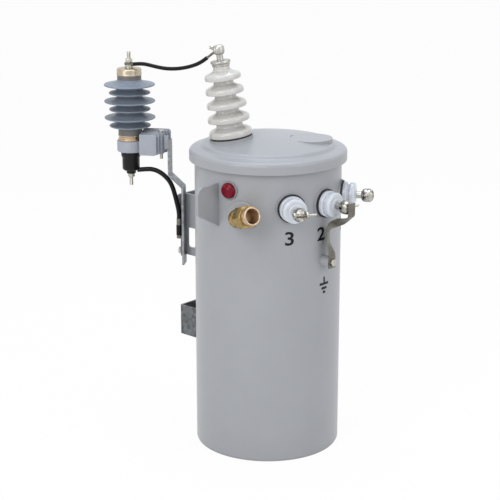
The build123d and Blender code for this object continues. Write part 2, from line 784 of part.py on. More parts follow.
# Bar on the side of the upper bracket, seen from the side in its own upright plane
bar_out = around(BAR_ANGLE, 1, 0)
bar_across = bar_out.cross(Vector(0, 0, 1))
bar_foot = Vector(-UPPER_W / 2, WEB_Y - BAR_IN, 0) - bar_across * (BAR_W / 2)
bar_side = Plane(origin=bar_foot, x_dir=bar_out, z_dir=bar_across)
with BuildPart() as arrester_bar:
    with BuildSketch(bar_side.offset(BAR_W / 2 + BAR_WELD)):
        with BuildLine():
            FilletPolyline(
                (BAR_T / 2, BAR_LOW),
                (BAR_T / 2, BAR_STEP_LOW),
                (BAR_STEP + BAR_T / 2, BAR_STEP_TOP),
                (BAR_STEP + BAR_T / 2, BAR_TOP),
                radius=[BAR_BEND, BAR_BEND],
            )
        trace(line_width=BAR_T)
    extrude(amount=-BAR_W - BAR_WELD)
    add(upper_bracket.part, mode=Mode.SUBTRACT)
save(arrester_bar, "arrester_bar")


def along_bar(out, across, height):
    """A point from its place outward from the bar, across it, and its height."""
    return bar_foot + bar_out * out + bar_across * across + Vector(0, 0, height)


# Insulating bracket: upright plates about a core, a foot on the bar and an eye below the arrester
arrester_at = bar_foot + bar_out * ARRESTER_OUT
arrester_axis = Plane(origin=arrester_at, x_dir=bar_out, z_dir=(0, 0, 1))
block_in = BAR_STEP + BAR_T
block_end = ARRESTER_OUT - BLOCK_CLEAR


def upright_plate(middle, thick, start, low, top):
    """A rounded upright plate of the bracket, this far across from the bar's middle plane."""
    with BuildPart() as plate:
        with BuildSketch(bar_side.offset(middle)):
            with Locations(((start + block_end) / 2, (low + top) / 2)):
                RectangleRounded(block_end - start, top - low, BLOCK_ROUND)
        extrude(amount=thick / 2, both=True)
    return plate


plate_span = (PLATE_COUNT - 1) * PLATE_PITCH
core_start = block_in + (PLATE_COUNT - 1) * PLATE_BACK + CORE_INSET
core_top = BLOCK_TOP - (PLATE_COUNT - 1) * PLATE_LOWER - CORE_INSET
plates = [upright_plate(0, plate_span, core_start, BLOCK_LOW + CORE_INSET, core_top)]
for number in range(PLATE_COUNT):
    middle = plate_span / 2 - number * PLATE_PITCH
    plate_start = block_in + number * PLATE_BACK
    plate_top = BLOCK_TOP - number * PLATE_LOWER
    plates.append(upright_plate(middle, PLATE_T, plate_start, BLOCK_LOW, plate_top))
bolt_head_low = BLOCK_TOP - (PLATE_COUNT // 2 - 1) * PLATE_LOWER
with BuildPart() as arrester_bracket:
    for plate in plates:
        add(plate.part)
    with BuildSketch(bar_side):
        with Locations(((block_in + core_start + 1) / 2, (BLOCK_LOW + BLOCK_TOP) / 2)):
            Rectangle(core_start + 1 - block_in, BLOCK_TOP - BLOCK_LOW - 2 * FOOT_INSET)
    extrude(amount=FOOT_W / 2, both=True)
    with BuildSketch(arrester_axis.offset(ARM_Z)):
        Circle(ARM_EYE_R)
        with Locations((-(BLOCK_CLEAR + ARM_IN) / 2, 0)):
            Rectangle(BLOCK_CLEAR + ARM_IN, ARM_W)
    extrude(amount=ARM_EYE_T)
    with BuildSketch(arrester_axis.offset(BLOCK_LOW)):
        with Locations((BRACKET_BOLT_OUT - ARRESTER_OUT, 0)):
            Circle(BRACKET_BOLT_R)
    extrude(amount=BLOCK_TOP - BLOCK_LOW, mode=Mode.SUBTRACT)
save(arrester_bracket, "arrester_bracket")

bracket_bolt_axis = Plane(origin=bar_foot + bar_out * BRACKET_BOLT_OUT, x_dir=bar_out, z_dir=(0, 0, 1))
bolt_foot = BLOCK_LOW - BRACKET_BOLT_DROP
bracket_bolt = turned(
    bracket_bolt_axis,
    [
        (0, bolt_foot),
        (BRACKET_BOLT_R, bolt_foot),
        (BRACKET_BOLT_R, bolt_head_low),
        (BRACKET_BOLT_HEAD_R, bolt_head_low),
        (BRACKET_BOLT_HEAD_R, bolt_head_low + BRACKET_BOLT_HEAD_T),
        (0, bolt_head_low + BRACKET_BOLT_HEAD_T),
    ],
    [0, 1, 0, 0, 1, 0],
)
save(bracket_bolt, "bracket_bolt")

# Arrester housing with large and small sheds in turn
base_ring = turned(
    arrester_axis,
    [(0, ARM_EYE_TOP), (BASE_RING_R, ARM_EYE_TOP), (BASE_RING_R, BASE_RING_TOP), (0, BASE_RING_TOP)],
    [0, 2, 2, 0],
)
save(base_ring, "arrester_base_ring")


def housing_outline():
    """Outline of the arrester's housing, from the bottom up."""
    points = [(0, BASE_RING_TOP), (CORE_R, BASE_RING_TOP)]
    for step in reversed(range(2 * SHED_COUNT)):
        edge = SHED_TOP - step * SHED_PITCH / 2
        shed_r = SMALL_SHED_R if step % 2 else BIG_SHED_R
        points += [
            (CORE_R, edge - SHED_T / 2),
            (shed_r, edge - SHED_T / 2),
            (shed_r, edge + SHED_T / 2),
            (CORE_R, edge + SHED_RISE),
        ]
    points += [(CORE_R, CORE_TOP), (0, CORE_TOP)]
    return points


arrester_housing = turned(arrester_axis, housing_outline())
save(arrester_housing, "arrester_housing")

arrester_cap = turned(
    arrester_axis,
    [
        (0, CORE_TOP),
        (CAP_R, CORE_TOP),
        (CAP_R, CAP_TOP),
        (TERMINAL_WASHER_R, CAP_TOP + CAP_RISE),
        (0, CAP_TOP + CAP_RISE),
    ],
    [0, 1, 2, 0, 0],
)
save(arrester_cap, "arrester_cap")

arrester_stud = turned(
    arrester_axis,
    [(0, CAP_TOP + CAP_RISE), (STUD_R, CAP_TOP + CAP_RISE), (STUD_R, STUD_TOP), (0, STUD_TOP)],
    [0, 0, 1, 0],
)
save(arrester_stud, "arrester_stud")

# Ring lug of the jumper between a washer and the nut on the arrester's stud
jumper_route = [along_bar(*point) for point in JUMPER_ROUTE]
jumper_start = Plane(origin=jumper_route[0], z_dir=jumper_route[0] - jumper_route[1])
with BuildPart() as jumper_lug:
    with BuildSketch(arrester_axis.offset(LUG_LOW)):
        Circle(LUG_R)
    extrude(amount=JUMPER_LUG_T)
    with BuildSketch(jumper_start):
        Circle(JUMPER_D / 2)
    extrude(amount=LUG_BARREL)
    with BuildSketch(arrester_axis.offset(LUG_LOW - LUG_R)):
        Circle(STUD_R)
    extrude(amount=3 * LUG_R, mode=Mode.SUBTRACT)
save(jumper_lug, "jumper_lug")

with BuildPart() as terminal_washer:
    with BuildSketch(arrester_axis.offset(CAP_TOP + CAP_RISE)):
        Circle(TERMINAL_WASHER_R)
        Circle(STUD_R, mode=Mode.SUBTRACT)
    extrude(amount=TERMINAL_WASHER_T)
save(terminal_washer, "terminal_washer")

# Disconnector
ground_route = [along_bar(*point) for point in GROUND_ROUTE]
disconnector_body = turned(
    arrester_axis,
    [
        (0, DISC_NECK_LOW),
        (DISC_NECK_R, DISC_NECK_LOW),
        (DISC_NECK_R, DISC_LOW),
        (DISC_R, DISC_LOW),
        (DISC_R, DISC_STEP_Z),
        (DISC_TOP_R, DISC_STEP_Z + DISC_STEP_RISE),
        (DISC_TOP_R, ARM_Z),
        (0, ARM_Z),
    ],
    [0, 0, 2, DISC_ROUND, 1, 1, 0, 0],
)
with BuildPart() as disconnector:
    add(disconnector_body.part)
    with BuildSketch(Plane(origin=ground_route[0], z_dir=ground_route[0] - ground_route[1])):
        Circle(GROUND_LEAD_D / 2)
    extrude(amount=DISC_OUTLET)
save(disconnector, "disconnector")

disconnector_stud = turned(
    arrester_axis,
    [(0, DISC_STUD_LOW), (STUD_R, DISC_STUD_LOW), (STUD_R, DISC_NECK_LOW), (0, DISC_NECK_LOW)],
    [0, 1.5, 0, 0],
)
save(disconnector_stud, "disconnector_stud")

# Nuts on the arrester's line stud and on the stud below the disconnector
nuts = []
for low, thick in ((NUT_LOW, NUT_T), (DISC_NUT_LOW, DISC_NUT_T)):
    with BuildPart() as nut:
        with BuildSketch(arrester_axis.offset(low)):
            RegularPolygon(NUT_R, 6)
            Circle(STUD_R, mode=Mode.SUBTRACT)
        extrude(amount=thick)
    nuts.append(nut)
save(joined(nuts), "arrester_nuts")

# Leads: each a tube along straight runs joined by arcs as large as the runs allow


def lead(name, route, diameter):
    """A round lead along a route of points, with its bends and length printed."""
    steps = [after - before for before, after in zip(route, route[1:])]
    radii = []
    for first, second in zip(steps, steps[1:]):
        half_turn = radians(first.get_angle(second)) / 2
        radii.append(BEND_SHARE * min(first.length, second.length) / tan(half_turn))
    with BuildPart() as tube:
        with BuildLine() as path:
            FilletPolyline(*route, radius=radii)
        with BuildSketch(Plane(origin=route[0], z_dir=steps[0])):
            Circle(diameter / 2)
        sweep(path=path.wires()[0])
    length = path.wires()[0].length
    ratio = tube.part.volume / (pi * diameter**2 / 4 * length)
    print(name, "length", round(length), "radii", [round(r) for r in radii], "volume ratio", round(ratio, 4))
    save(tube, name)


lead("jumper_lead", jumper_route, JUMPER_D)
lead("ground_lead", ground_route, GROUND_LEAD_D)

# Bare wire from the jumper's insulation into the clamp on top of the bushing
wire_start = jumper_route[-1]
wire_dir = (jumper_route[-1] - jumper_route[-2]).normalized()
clamp_middle = hv_plane.origin + hv_up * ((HV_CLAMP_LOW + HV_CLAMP_TOP) / 2)
wire_len = (clamp_middle - wire_start).length
wire_plane = Plane(origin=wire_start, z_dir=wire_dir)
with BuildPart() as jumper_wire:
    with BuildSketch(wire_plane):
        Circle(WIRE_R)
    extrude(amount=wire_len)
save(jumper_wire, "jumper_wire")

# Clamp that joins the bushing's rod to the wire, with its bolt across
hv_bolt_plane = Plane(origin=hv_plane.origin + hv_up * HV_BOLT_AT + hv_out * HV_BOLT_START, z_dir=hv_out)
with BuildPart() as hv_clamp:
    with BuildSketch(hv_plane.offset(HV_CLAMP_LOW)):
        Circle(HV_CLAMP_R)
    extrude(amount=HV_CLAMP_TOP - HV_CLAMP_LOW)
    fillet(hv_clamp.edges().filter_by(GeomType.CIRCLE), 1.5)
    with BuildSketch(hv_plane.offset(HV_CLAMP_LOW)):
        Circle(HV_ROD_R)
    extrude(amount=HV_ROD_TOP - HV_CLAMP_LOW, mode=Mode.SUBTRACT)
    with BuildSketch(wire_plane):
        Circle(WIRE_R)
    extrude(amount=wire_len, mode=Mode.SUBTRACT)
    with BuildSketch(hv_bolt_plane):
        Circle(HV_BOLT_R)
    extrude(amount=HV_CLAMP_R, mode=Mode.SUBTRACT)
    with BuildSketch(hv_bolt_plane.offset(HV_CHEEK)):
        Circle(HV_BOLT_HEAD_R + HV_BOLT_CLEAR)
    extrude(amount=HV_CLAMP_R, mode=Mode.SUBTRACT)
save(hv_clamp, "hv_clamp")

with BuildPart() as hv_clamp_bolt:
    with BuildSketch(hv_bolt_plane):
        Circle(HV_BOLT_R)
    extrude(amount=HV_BOLT_REACH)
    with BuildSketch(hv_bolt_plane.offset(HV_CHEEK)):
        RegularPolygon(HV_BOLT_HEAD_R, 6)
    extrude(amount=HV_BOLT_HEAD_T)
save(hv_clamp_bolt, "hv_clamp_bolt")

# Lug that bolts the ground lead to the foot of the bar
lug_plane = Plane(origin=ground_route[-1], x_dir=bar_out, z_dir=(0, 0, -1))
with BuildPart() as ground_lug:
    with BuildSketch(lug_plane):
        Circle(CRIMP_R)
    extrude(amount=CRIMP_LEN)
    with BuildSketch(bar_side.offset(-LEAD_ASIDE)):
        with Locations((BAR_T + TONGUE_T / 2, (TONGUE_TOP + TONGUE_LOW) / 2)):
            Rectangle(TONGUE_T, TONGUE_TOP - TONGUE_LOW)
    extrude(amount=TONGUE_W / 2, both=True)
save(ground_lug, "ground_lug")

lug_bolt_at = bar_foot + bar_out * (BAR_T + TONGUE_T) - bar_across * LEAD_ASIDE
lug_bolt_plane = Plane(origin=lug_bolt_at + Vector(0, 0, LUG_BOLT_Z), z_dir=bar_out)
with BuildPart() as ground_lug_bolt:
    with BuildSketch(lug_bolt_plane):
        RegularPolygon(GROUND_HEAD_R, 6)
    extrude(amount=GROUND_HEAD_T)
save(ground_lug_bolt, "ground_lug_bolt")
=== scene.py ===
# %% [markdown]
# # A pole mounted transformer
#
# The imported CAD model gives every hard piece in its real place, in metres. This script
# dresses it: it sets the camera and light, gives each piece the finish of the real one,
# and models again the pieces whose glaze, casting or moulding deserves a smoother form.

# %% The frame
import json
from math import cos, pi, radians, sin, tan

import bmesh
import bpy
from mathutils import Matrix, Vector


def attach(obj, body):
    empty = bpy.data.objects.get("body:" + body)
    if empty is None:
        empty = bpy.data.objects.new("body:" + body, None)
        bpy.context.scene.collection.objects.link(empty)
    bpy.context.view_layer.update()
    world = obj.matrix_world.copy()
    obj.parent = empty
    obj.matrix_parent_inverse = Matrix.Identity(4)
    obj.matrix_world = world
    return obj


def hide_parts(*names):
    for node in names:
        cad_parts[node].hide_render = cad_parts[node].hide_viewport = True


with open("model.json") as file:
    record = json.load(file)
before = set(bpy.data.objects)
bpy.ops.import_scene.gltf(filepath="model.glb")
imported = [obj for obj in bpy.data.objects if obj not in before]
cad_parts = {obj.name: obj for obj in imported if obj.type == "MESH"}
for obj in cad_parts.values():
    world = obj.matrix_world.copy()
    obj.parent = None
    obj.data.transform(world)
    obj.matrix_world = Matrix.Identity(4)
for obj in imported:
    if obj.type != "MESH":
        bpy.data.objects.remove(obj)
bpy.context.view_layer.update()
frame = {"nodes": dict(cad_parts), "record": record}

# %% [markdown]
# ## Camera
#
# The real picture was taken from a little above the lid, from the left of the bushings'
# side. A long lens keeps the tank's sides nearly parallel. The camera could be aimed at an
# empty, but two angles are easier to check: how far it looks down, and its heading.

# %% Camera
looks_down = 16.19
heading = -47.81
camera_data = bpy.data.cameras.new("camera")
camera_data.lens = 110.8
camera = bpy.data.objects.new("camera", camera_data)
camera.location = (-2.7515, -2.4343, 1.5574)
camera.rotation_euler = (radians(90 - looks_down), 0, radians(heading))
bpy.context.scene.collection.objects.link(camera)
bpy.context.scene.camera = camera
print("camera distance", round(camera.location.length, 3))

# %% [markdown]
# ## Colours and nodes
#
# Paint charts and pictures give a colour as an sRGB hex value, while the renderer works in
# linear light. One function turns the first into the second. Patterns repeat per metre,
# so a second one turns a real size in millimetres into a texture's scale. A third adds one
# node, so that a finish reads as a list of its nodes.


# %% Colour and pattern helpers
def colour(hex_code):
    """Linear colour, with its alpha, from an sRGB hex value."""
    levels = [int(hex_code[i : i + 2], 16) / 255 for i in (1, 3, 5)]
    return [v / 12.92 if v <= 0.04045 else ((v + 0.055) / 1.055) ** 2.4 for v in levels] + [1.0]


def per_metre(size_mm):
    """Texture scale whose pattern repeats about every size_mm."""
    return 1000 / size_mm


# %% Node helpers
# A Mix node has a set of sockets for each kind of value, and these are its colour ones.
from_colour = 6
to_colour = 7
mixed_colour = 2


def add_node(material, kind, settings=None, values=None, links=None):
    """One node with its own settings, socket values and links from other nodes."""
    made = material.node_tree.nodes.new(kind)
    for name, value in (settings or {}).items():
        setattr(made, name, value)
    for socket, value in (values or {}).items():
        made.inputs[socket].default_value = value
    for socket, (source, output) in (links or {}).items():
        material.node_tree.links.new(source.outputs[output], made.inputs[socket])
    return made


def start_finish(name):
    """An empty material, and the link that lays its patterns on the piece itself."""
    material = bpy.data.materials.new(name)
    material.use_nodes = True
    material.node_tree.nodes.clear()
    place = add_node(material, "ShaderNodeTexCoord")
    return material, {"Vector": (place, "Object")}


def close_finish(material, values, links):
    """The shader that all patterns of a finish end in."""
    shader = add_node(material, "ShaderNodeBsdfPrincipled", values=values, links=links)
    add_node(material, "ShaderNodeOutputMaterial", links={"Surface": (shader, "BSDF")})
    print("finish", material.name)
    return material


# %% [markdown]
# ## Floor and light
#
# Outdoor equipment is pictured on white. The floor is one wide disc that reads white to the
# lens but keeps the tank's soft shadow, and the world around it is white as well, so that
# glaze and metal mirror a bright room. Four soft lamps give the round shapes a soft side.

# %% Floor
floor_mesh = bmesh.new()
bmesh.ops.create_circle(floor_mesh, cap_ends=True, segments=96, radius=30)
floor_data = bpy.data.meshes.new("floor")
floor_mesh.to_mesh(floor_data)
floor_mesh.free()
floor = bpy.data.objects.new("floor", floor_data)
bpy.context.scene.collection.objects.link(floor)
print("floor with", len(floor_data.vertices), "corners")


# %% Floor paper
def in_view(material):
    """Reads 1 for the lens, in mirrors and through glass, and 0 for all other light."""
    ray = add_node(material, "ShaderNodeLightPath")
    mirrored = add_node(
        material,
        "ShaderNodeMath",
        {"operation": "MAXIMUM"},
        links={0: (ray, "Is Camera Ray"), 1: (ray, "Is Glossy Ray")},
    )
    return add_node(
        material,
        "ShaderNodeMath",
        {"operation": "MAXIMUM"},
        links={0: (mirrored, "Value"), 1: (ray, "Is Transmission Ray")},
    )


# The small share that stays matt is what shows the shadow.
white_share = 0.95
paper = bpy.data.materials.new("matt_paper")
paper.use_nodes = True
paper.node_tree.nodes.clear()
seen = in_view(paper)
lifted = add_node(
    paper,
    "ShaderNodeMath",
    {"operation": "MULTIPLY"},
    {1: white_share},
    {0: (seen, "Value")},
)
matt = add_node(paper, "ShaderNodeBsdfDiffuse", values={"Color": colour("#ECECEC")})
bright = add_node(paper, "ShaderNodeEmission", values={"Color": colour("#FFFFFF"), "Strength": 1.0})
both = add_node(
    paper,
    "ShaderNodeMixShader",
    links={0: (lifted, "Value"), 1: (matt, "BSDF"), 2: (bright, "Emission")},
)
add_node(paper, "ShaderNodeOutputMaterial", links={"Surface": (both, "Shader")})
floor_data.materials.append(paper)

# %% World
# Full white to the lens and in mirrors, and weaker as light on the matt paint.
room_light = 0.62
world = bpy.data.worlds.new("white_room")
world.use_nodes = True
world.node_tree.nodes.clear()
seen = in_view(world)
level = add_node(
    world,
    "ShaderNodeMapRange",
    values={"To Min": room_light, "To Max": 1.0},
    links={"Value": (seen, "Value")},
)
sky = add_node(
    world,
    "ShaderNodeBackground",
    values={"Color": colour("#FFFFFF")},
    links={"Strength": (level, "Result")},
)
add_node(world, "ShaderNodeOutputWorld", links={"Surface": (sky, "Background")})
bpy.context.scene.world = world
bpy.context.scene.view_settings.view_transform = "Standard"
print("room light", room_light)

# %% Lamps
tank_middle = Vector((0, 0, 0.45))


def soft_lamp(name, place, size, power, tint="#FFFFFF"):
    """A large square lamp that faces the middle of the tank, in metres and watts."""
    data = bpy.data.lights.new(name, "AREA")
    data.size = size
    data.energy = power
    data.color = colour(tint)[:3]
    lamp = bpy.data.objects.new(name, data)
    lamp.location = place
    lamp.rotation_euler = (Vector(place) - tank_middle).to_track_quat("Z", "Y").to_euler()
    bpy.context.scene.collection.objects.link(lamp)
    print(name, power, "W")


soft_lamp("key_lamp", (-2.6, -0.6, 2.6), size=1.8, power=33)
soft_lamp("fill_lamp", (0.3, -3.2, 1.8), size=2.2, power=23)
soft_lamp("top_lamp", (0.3, 0.4, 3.2), size=2.0, power=38, tint="#E0EEFF")
soft_lamp("side_lamp", (-3.0, 0.25, 1.2), size=0.8, power=9)

# %% [markdown]
# ## Finish: tank paint
#
# The tank is welded steel with a light grey polyester enamel. Sprayed enamel dries with a
# faint orange peel and a satin gloss. A large, weak noise stands for uneven film and dust,
# and a small one for the peel, because a flat grey would look like plastic.

# %% Tank paint
tank_paint, on_piece = start_finish("satin_grey_enamel")
patches = add_node(
    tank_paint,
    "ShaderNodeTexNoise",
    values={"Scale": per_metre(110), "Detail": 3.0},
    links=on_piece,
)
film = add_node(
    tank_paint,
    "ShaderNodeMix",
    {"data_type": "RGBA"},
    {from_colour: colour("#989A9E"), to_colour: colour("#A2A4A8")},
    {"Factor": (patches, "Fac")},
)
# Real peel is finer, and is drawn at 3 mm so that it shows.
peel = add_node(
    tank_paint,
    "ShaderNodeTexNoise",
    values={"Scale": per_metre(3), "Detail": 2.0},
    links=on_piece,
)
peel_bump = add_node(
    tank_paint,
    "ShaderNodeBump",
    values={"Strength": 0.2, "Distance": 0.0002},
    links={"Height": (peel, "Fac")},
)
gloss = add_node(
    tank_paint,
    "ShaderNodeMapRange",
    values={"To Min": 0.26, "To Max": 0.4},
    links={"Value": (patches, "Fac")},
)
close_finish(
    tank_paint,
    {"IOR": 1.5},
    {"Base Color": (film, mixed_colour), "Roughness": (gloss, "Result"), "Normal": (peel_bump, "Normal")},
)

# %% [markdown]
# ## Finish: porcelain
#
# The bushings are wet-process porcelain under a glassy glaze. The glaze pools a little, so
# its colour drifts over a few centimetres, and it mirrors windows sharply. The tall bushing
# is a warm grey, and the three at the side are a colder white.


# %% Porcelain
def glazed(name, dark, light):
    """Porcelain whose glaze pools a little over a few centimetres."""
    material, on_piece = start_finish(name)
    pooling = add_node(
        material,
        "ShaderNodeTexNoise",
        values={"Scale": per_metre(35), "Detail": 2.0},
        links=on_piece,
    )
    glaze = add_node(
        material,
        "ShaderNodeMix",
        {"data_type": "RGBA"},
        {from_colour: colour(dark), to_colour: colour(light)},
        {"Factor": (pooling, "Fac")},
    )
    waviness = add_node(
        material,
        "ShaderNodeBump",
        values={"Strength": 0.1, "Distance": 0.0004},
        links={"Height": (pooling, "Fac")},
    )
    return close_finish(
        material,
        {"Roughness": 0.12, "IOR": 1.5, "Coat Weight": 0.4, "Coat Roughness": 0.05},
        {"Base Color": (glaze, mixed_colour), "Normal": (waviness, "Normal")},
    )


porcelain = glazed("grey_glazed_porcelain", "#BDBBB7", "#CAC8C4")
white_porcelain = glazed("white_glazed_porcelain", "#C5CAD3", "#D1D6DE")

# %% [markdown]
# ## Finish: metals
#
# The clamps are cast bronze under tin, the strap and the lugs are tinned copper, the bolts
# are zinc plated steel, and the fitting is cast brass. All show their metal, so they share
# one way: a base colour that drifts, a roughness that follows the grain, and a small bump.
# A narrow spread pulls the two colours apart into patches. The castings have their real
# grain. That of plated and turned metal is far finer, and is drawn at 2 mm so that it shows.


# %% Metals
def metal(name, dark, light, drift_mm, rough, grain_mm, bump_mm, spread=0.5):
    """A metal whose colour and gloss drift, with a fine grain in its surface."""
    material, on_piece = start_finish(name)
    drift = add_node(
        material,
        "ShaderNodeTexNoise",
        values={"Scale": per_metre(drift_mm), "Detail": 4.0},
        links=on_piece,
    )
    drawn_apart = add_node(
        material,
        "ShaderNodeMapRange",
        values={"From Min": 0.5 - spread, "From Max": 0.5 + spread},
        links={"Value": (drift, "Fac")},
    )
    tone = add_node(
        material,
        "ShaderNodeMix",
        {"data_type": "RGBA"},
        {from_colour: colour(dark), to_colour: colour(light)},
        {"Factor": (drawn_apart, "Result")},
    )
    grain = add_node(
        material,
        "ShaderNodeTexNoise",
        values={"Scale": per_metre(grain_mm), "Detail": 2.0},
        links=on_piece,
    )
    relief = add_node(
        material,
        "ShaderNodeBump",
        values={"Strength": 0.35, "Distance": bump_mm / 1000},
        links={"Height": (grain, "Fac")},
    )
    gloss = add_node(
        material,
        "ShaderNodeMapRange",
        values={"To Min": rough - 0.1, "To Max": rough + 0.1},
        links={"Value": (grain, "Fac")},
    )
    return close_finish(
        material,
        {"Metallic": 1.0},
        {"Base Color": (tone, mixed_colour), "Roughness": (gloss, "Result"), "Normal": (relief, "Normal")},
    )


# %% Tinned and weathered castings
# A sand casting under tin is pale and satin, with a grainy skin.
tinned_metal = metal(
    "tinned_bronze_casting", "#8F8D88", "#CFCEC9", drift_mm=9, rough=0.36, grain_mm=1.6, bump_mm=0.3
)
# The low clamps have lost some of their tin, so dark bronze shows in patches.
weathered_clamp = metal(
    "weathered_bronze_casting",
    "#55504A",
    "#CFCBC4",
    drift_mm=8,
    rough=0.34,
    grain_mm=2.2,
    bump_mm=0.6,
    spread=0.14,
)
# Cast brass is dull yellow, and browner where the sand left it rough.
brass = metal(
    "cast_brass", "#6E5A32", "#BFA26A", drift_mm=7, rough=0.38, grain_mm=1.4, bump_mm=0.35, spread=0.25
)

# %% Plated and turned metals
# Electroplated zinc is even and bright, with a slightly warm cast.
plated_steel = metal(
    "zinc_plated_steel", "#A7A59C", "#C9C7BE", drift_mm=8, rough=0.3, grain_mm=2, bump_mm=0.05
)
# Tinned copper that has been outdoors is a dull, dark grey.
tinned_copper = metal(
    "tinned_copper", "#57544E", "#8E8B83", drift_mm=14, rough=0.42, grain_mm=3, bump_mm=0.12
)
# Turned bronze is pinkish and smooth.
bronze = metal("phosphor_bronze", "#B0977C", "#CDB89E", drift_mm=10, rough=0.36, grain_mm=2, bump_mm=0.1)
# Nickel on brass is pale gold and smooth.
plated_brass = metal(
    "nickel_plated_brass", "#A69A86", "#CBC0AC", drift_mm=12, rough=0.34, grain_mm=2, bump_mm=0.08
)

# %% [markdown]
# ## Finish: galvanised steel
#
# Zinc freezes on steel in spangles, flat crystals a centimetre across that each mirror the
# light a little differently. A Voronoi texture gives each crystal one tone of its own. The
# bar is still bright, and the lower bracket is given a darker zinc.


# %% Galvanised steel
def spangled(name, dark, light):
    """Zinc coated steel whose frozen crystals each have one tone and gloss."""
    material, on_piece = start_finish(name)
    crystal = add_node(material, "ShaderNodeTexVoronoi", values={"Scale": per_metre(9)}, links=on_piece)
    of_one = add_node(material, "ShaderNodeSeparateColor", links={"Color": (crystal, "Color")})
    zinc = add_node(
        material,
        "ShaderNodeMix",
        {"data_type": "RGBA"},
        {from_colour: colour(dark), to_colour: colour(light)},
        {"Factor": (of_one, "Red")},
    )
    dull = add_node(
        material,
        "ShaderNodeMapRange",
        values={"To Min": 0.42, "To Max": 0.6},
        links={"Value": (of_one, "Green")},
    )
    return close_finish(
        material,
        {"Metallic": 0.75},
        {"Base Color": (zinc, mixed_colour), "Roughness": (dull, "Result")},
    )


galvanised = spangled("hot_dip_galvanised_steel", "#7D8083", "#A1A4A7")
darker_zinc = spangled("darker_galvanised_steel", "#545759", "#797C7E")

# %% [markdown]
# ## Finish: moulded and rubber pieces
#
# The arrester's housing is moulded silicone rubber, its bracket a filled resin, the
# disconnector a black plastic, and the gaskets are nitrile. They differ in colour and
# gloss, not in kind: a soft bump and a weak drift of tone carry all of them. Their real
# skin is finer than the 1 to 2 mm that it is drawn at, which is as fine as shows here.


# %% Mouldings
def moulding(name, dark, light, drift_mm, rough, grain_mm, bump_mm, shine=0.5):
    """A moulded plastic or rubber with a weak drift of tone and a soft skin."""
    material, on_piece = start_finish(name)
    drift = add_node(
        material,
        "ShaderNodeTexNoise",
        values={"Scale": per_metre(drift_mm), "Detail": 3.0},
        links=on_piece,
    )
    tone = add_node(
        material,
        "ShaderNodeMix",
        {"data_type": "RGBA"},
        {from_colour: colour(dark), to_colour: colour(light)},
        {"Factor": (drift, "Fac")},
    )
    skin = add_node(
        material,
        "ShaderNodeTexNoise",
        values={"Scale": per_metre(grain_mm), "Detail": 2.0},
        links=on_piece,
    )
    relief = add_node(
        material,
        "ShaderNodeBump",
        values={"Strength": 0.3, "Distance": bump_mm / 1000},
        links={"Height": (skin, "Fac")},
    )
    return close_finish(
        material,
        {"Roughness": rough, "Specular IOR Level": shine},
        {"Base Color": (tone, mixed_colour), "Normal": (relief, "Normal")},
    )


# %% Rubbers
# Silicone is matt and blue grey on the sheds. The stem between them is painted darker and
# browner, as painted shade and reflection between the sheds.
polymer_grey = moulding(
    "silicone_rubber", "#737C89", "#808A98", drift_mm=60, rough=0.42, grain_mm=1.5, bump_mm=0.05
)
painted_shade_silicone = moulding(
    "painted_shade_silicone", "#5A5958", "#777472", drift_mm=40, rough=0.5, grain_mm=1.5, bump_mm=0.05
)
# Nitrile is almost black, with hardly any gloss.
gasket_rubber = moulding(
    "nitrile_rubber", "#17171A", "#232326", drift_mm=15, rough=0.6, grain_mm=1.2, bump_mm=0.08
)
# Extruded insulation has a low, even shine along the lead.
lead_insulation = moulding(
    "cross_linked_insulation",
    "#09090A",
    "#101011",
    drift_mm=30,
    rough=0.35,
    grain_mm=1.2,
    bump_mm=0.04,
    shine=0.2,
)

# %% Plastics
# A filled resin is pale, with a dull and slightly uneven skin.
bracket_resin = moulding(
    "filled_resin", "#979BA4", "#A7ACB5", drift_mm=30, rough=0.5, grain_mm=1.2, bump_mm=0.08
)
# A pressed thermoset is deep black, with a weak gloss.
black_plastic = moulding(
    "black_thermoset",
    "#0C0C0D",
    "#161617",
    drift_mm=25,
    rough=0.32,
    grain_mm=1.2,
    bump_mm=0.05,
    shine=0.25,
)
# Nylon is a soft, milky grey.
pale_plastic = moulding(
    "pale_nylon", "#85868A", "#919296", drift_mm=20, rough=0.45, grain_mm=1.2, bump_mm=0.04
)
# The lens is smooth, and dark because no light burns behind it.
red_lens = moulding(
    "red_polycarbonate",
    "#600517",
    "#7E0923",
    drift_mm=12,
    rough=0.12,
    grain_mm=2,
    bump_mm=0.03,
    shine=0.2,
)

# %% [markdown]
# ## Finishes on the carried-over pieces
#
# The record names a finish for each CAD piece. A lookup from that name to a material
# dresses them all, so that a piece that is modelled again below can take the same one.

# %% Dress the CAD pieces
finishes = {
    "tank_paint": tank_paint,
    "gasket_rubber": gasket_rubber,
    "porcelain": porcelain,
    "tinned_metal": tinned_metal,
    "plated_steel": plated_steel,
    "tinned_copper": tinned_copper,
    "galvanised_steel": galvanised,
    "polymer_grey": polymer_grey,
    "bracket_resin": bracket_resin,
    "black_plastic": black_plastic,
    "brass": brass,
    "red_lens": red_lens,
    "pale_plastic": pale_plastic,
    "lead_insulation": lead_insulation,
}
slot_of = {part["node"]: part["material_slot"] for part in frame["record"]["subparts"]}
for name, piece in frame["nodes"].items():
    piece.data.materials.clear()
    piece.data.materials.append(finishes[slot_of[name]])
frame["nodes"]["lower_bracket"].data.materials[0] = darker_zinc
print("dressed", len(slot_of), "CAD pieces")

# %% [markdown]
# ## Leads
#
# Two short insulated leads join the arrester: one to the clamp on the tall bushing, one
# from the disconnector down to the bar. A lead is stiff copper in thick insulation, so it
# holds a slow curve between its ends. A NURBS curve through a few route points gives it.


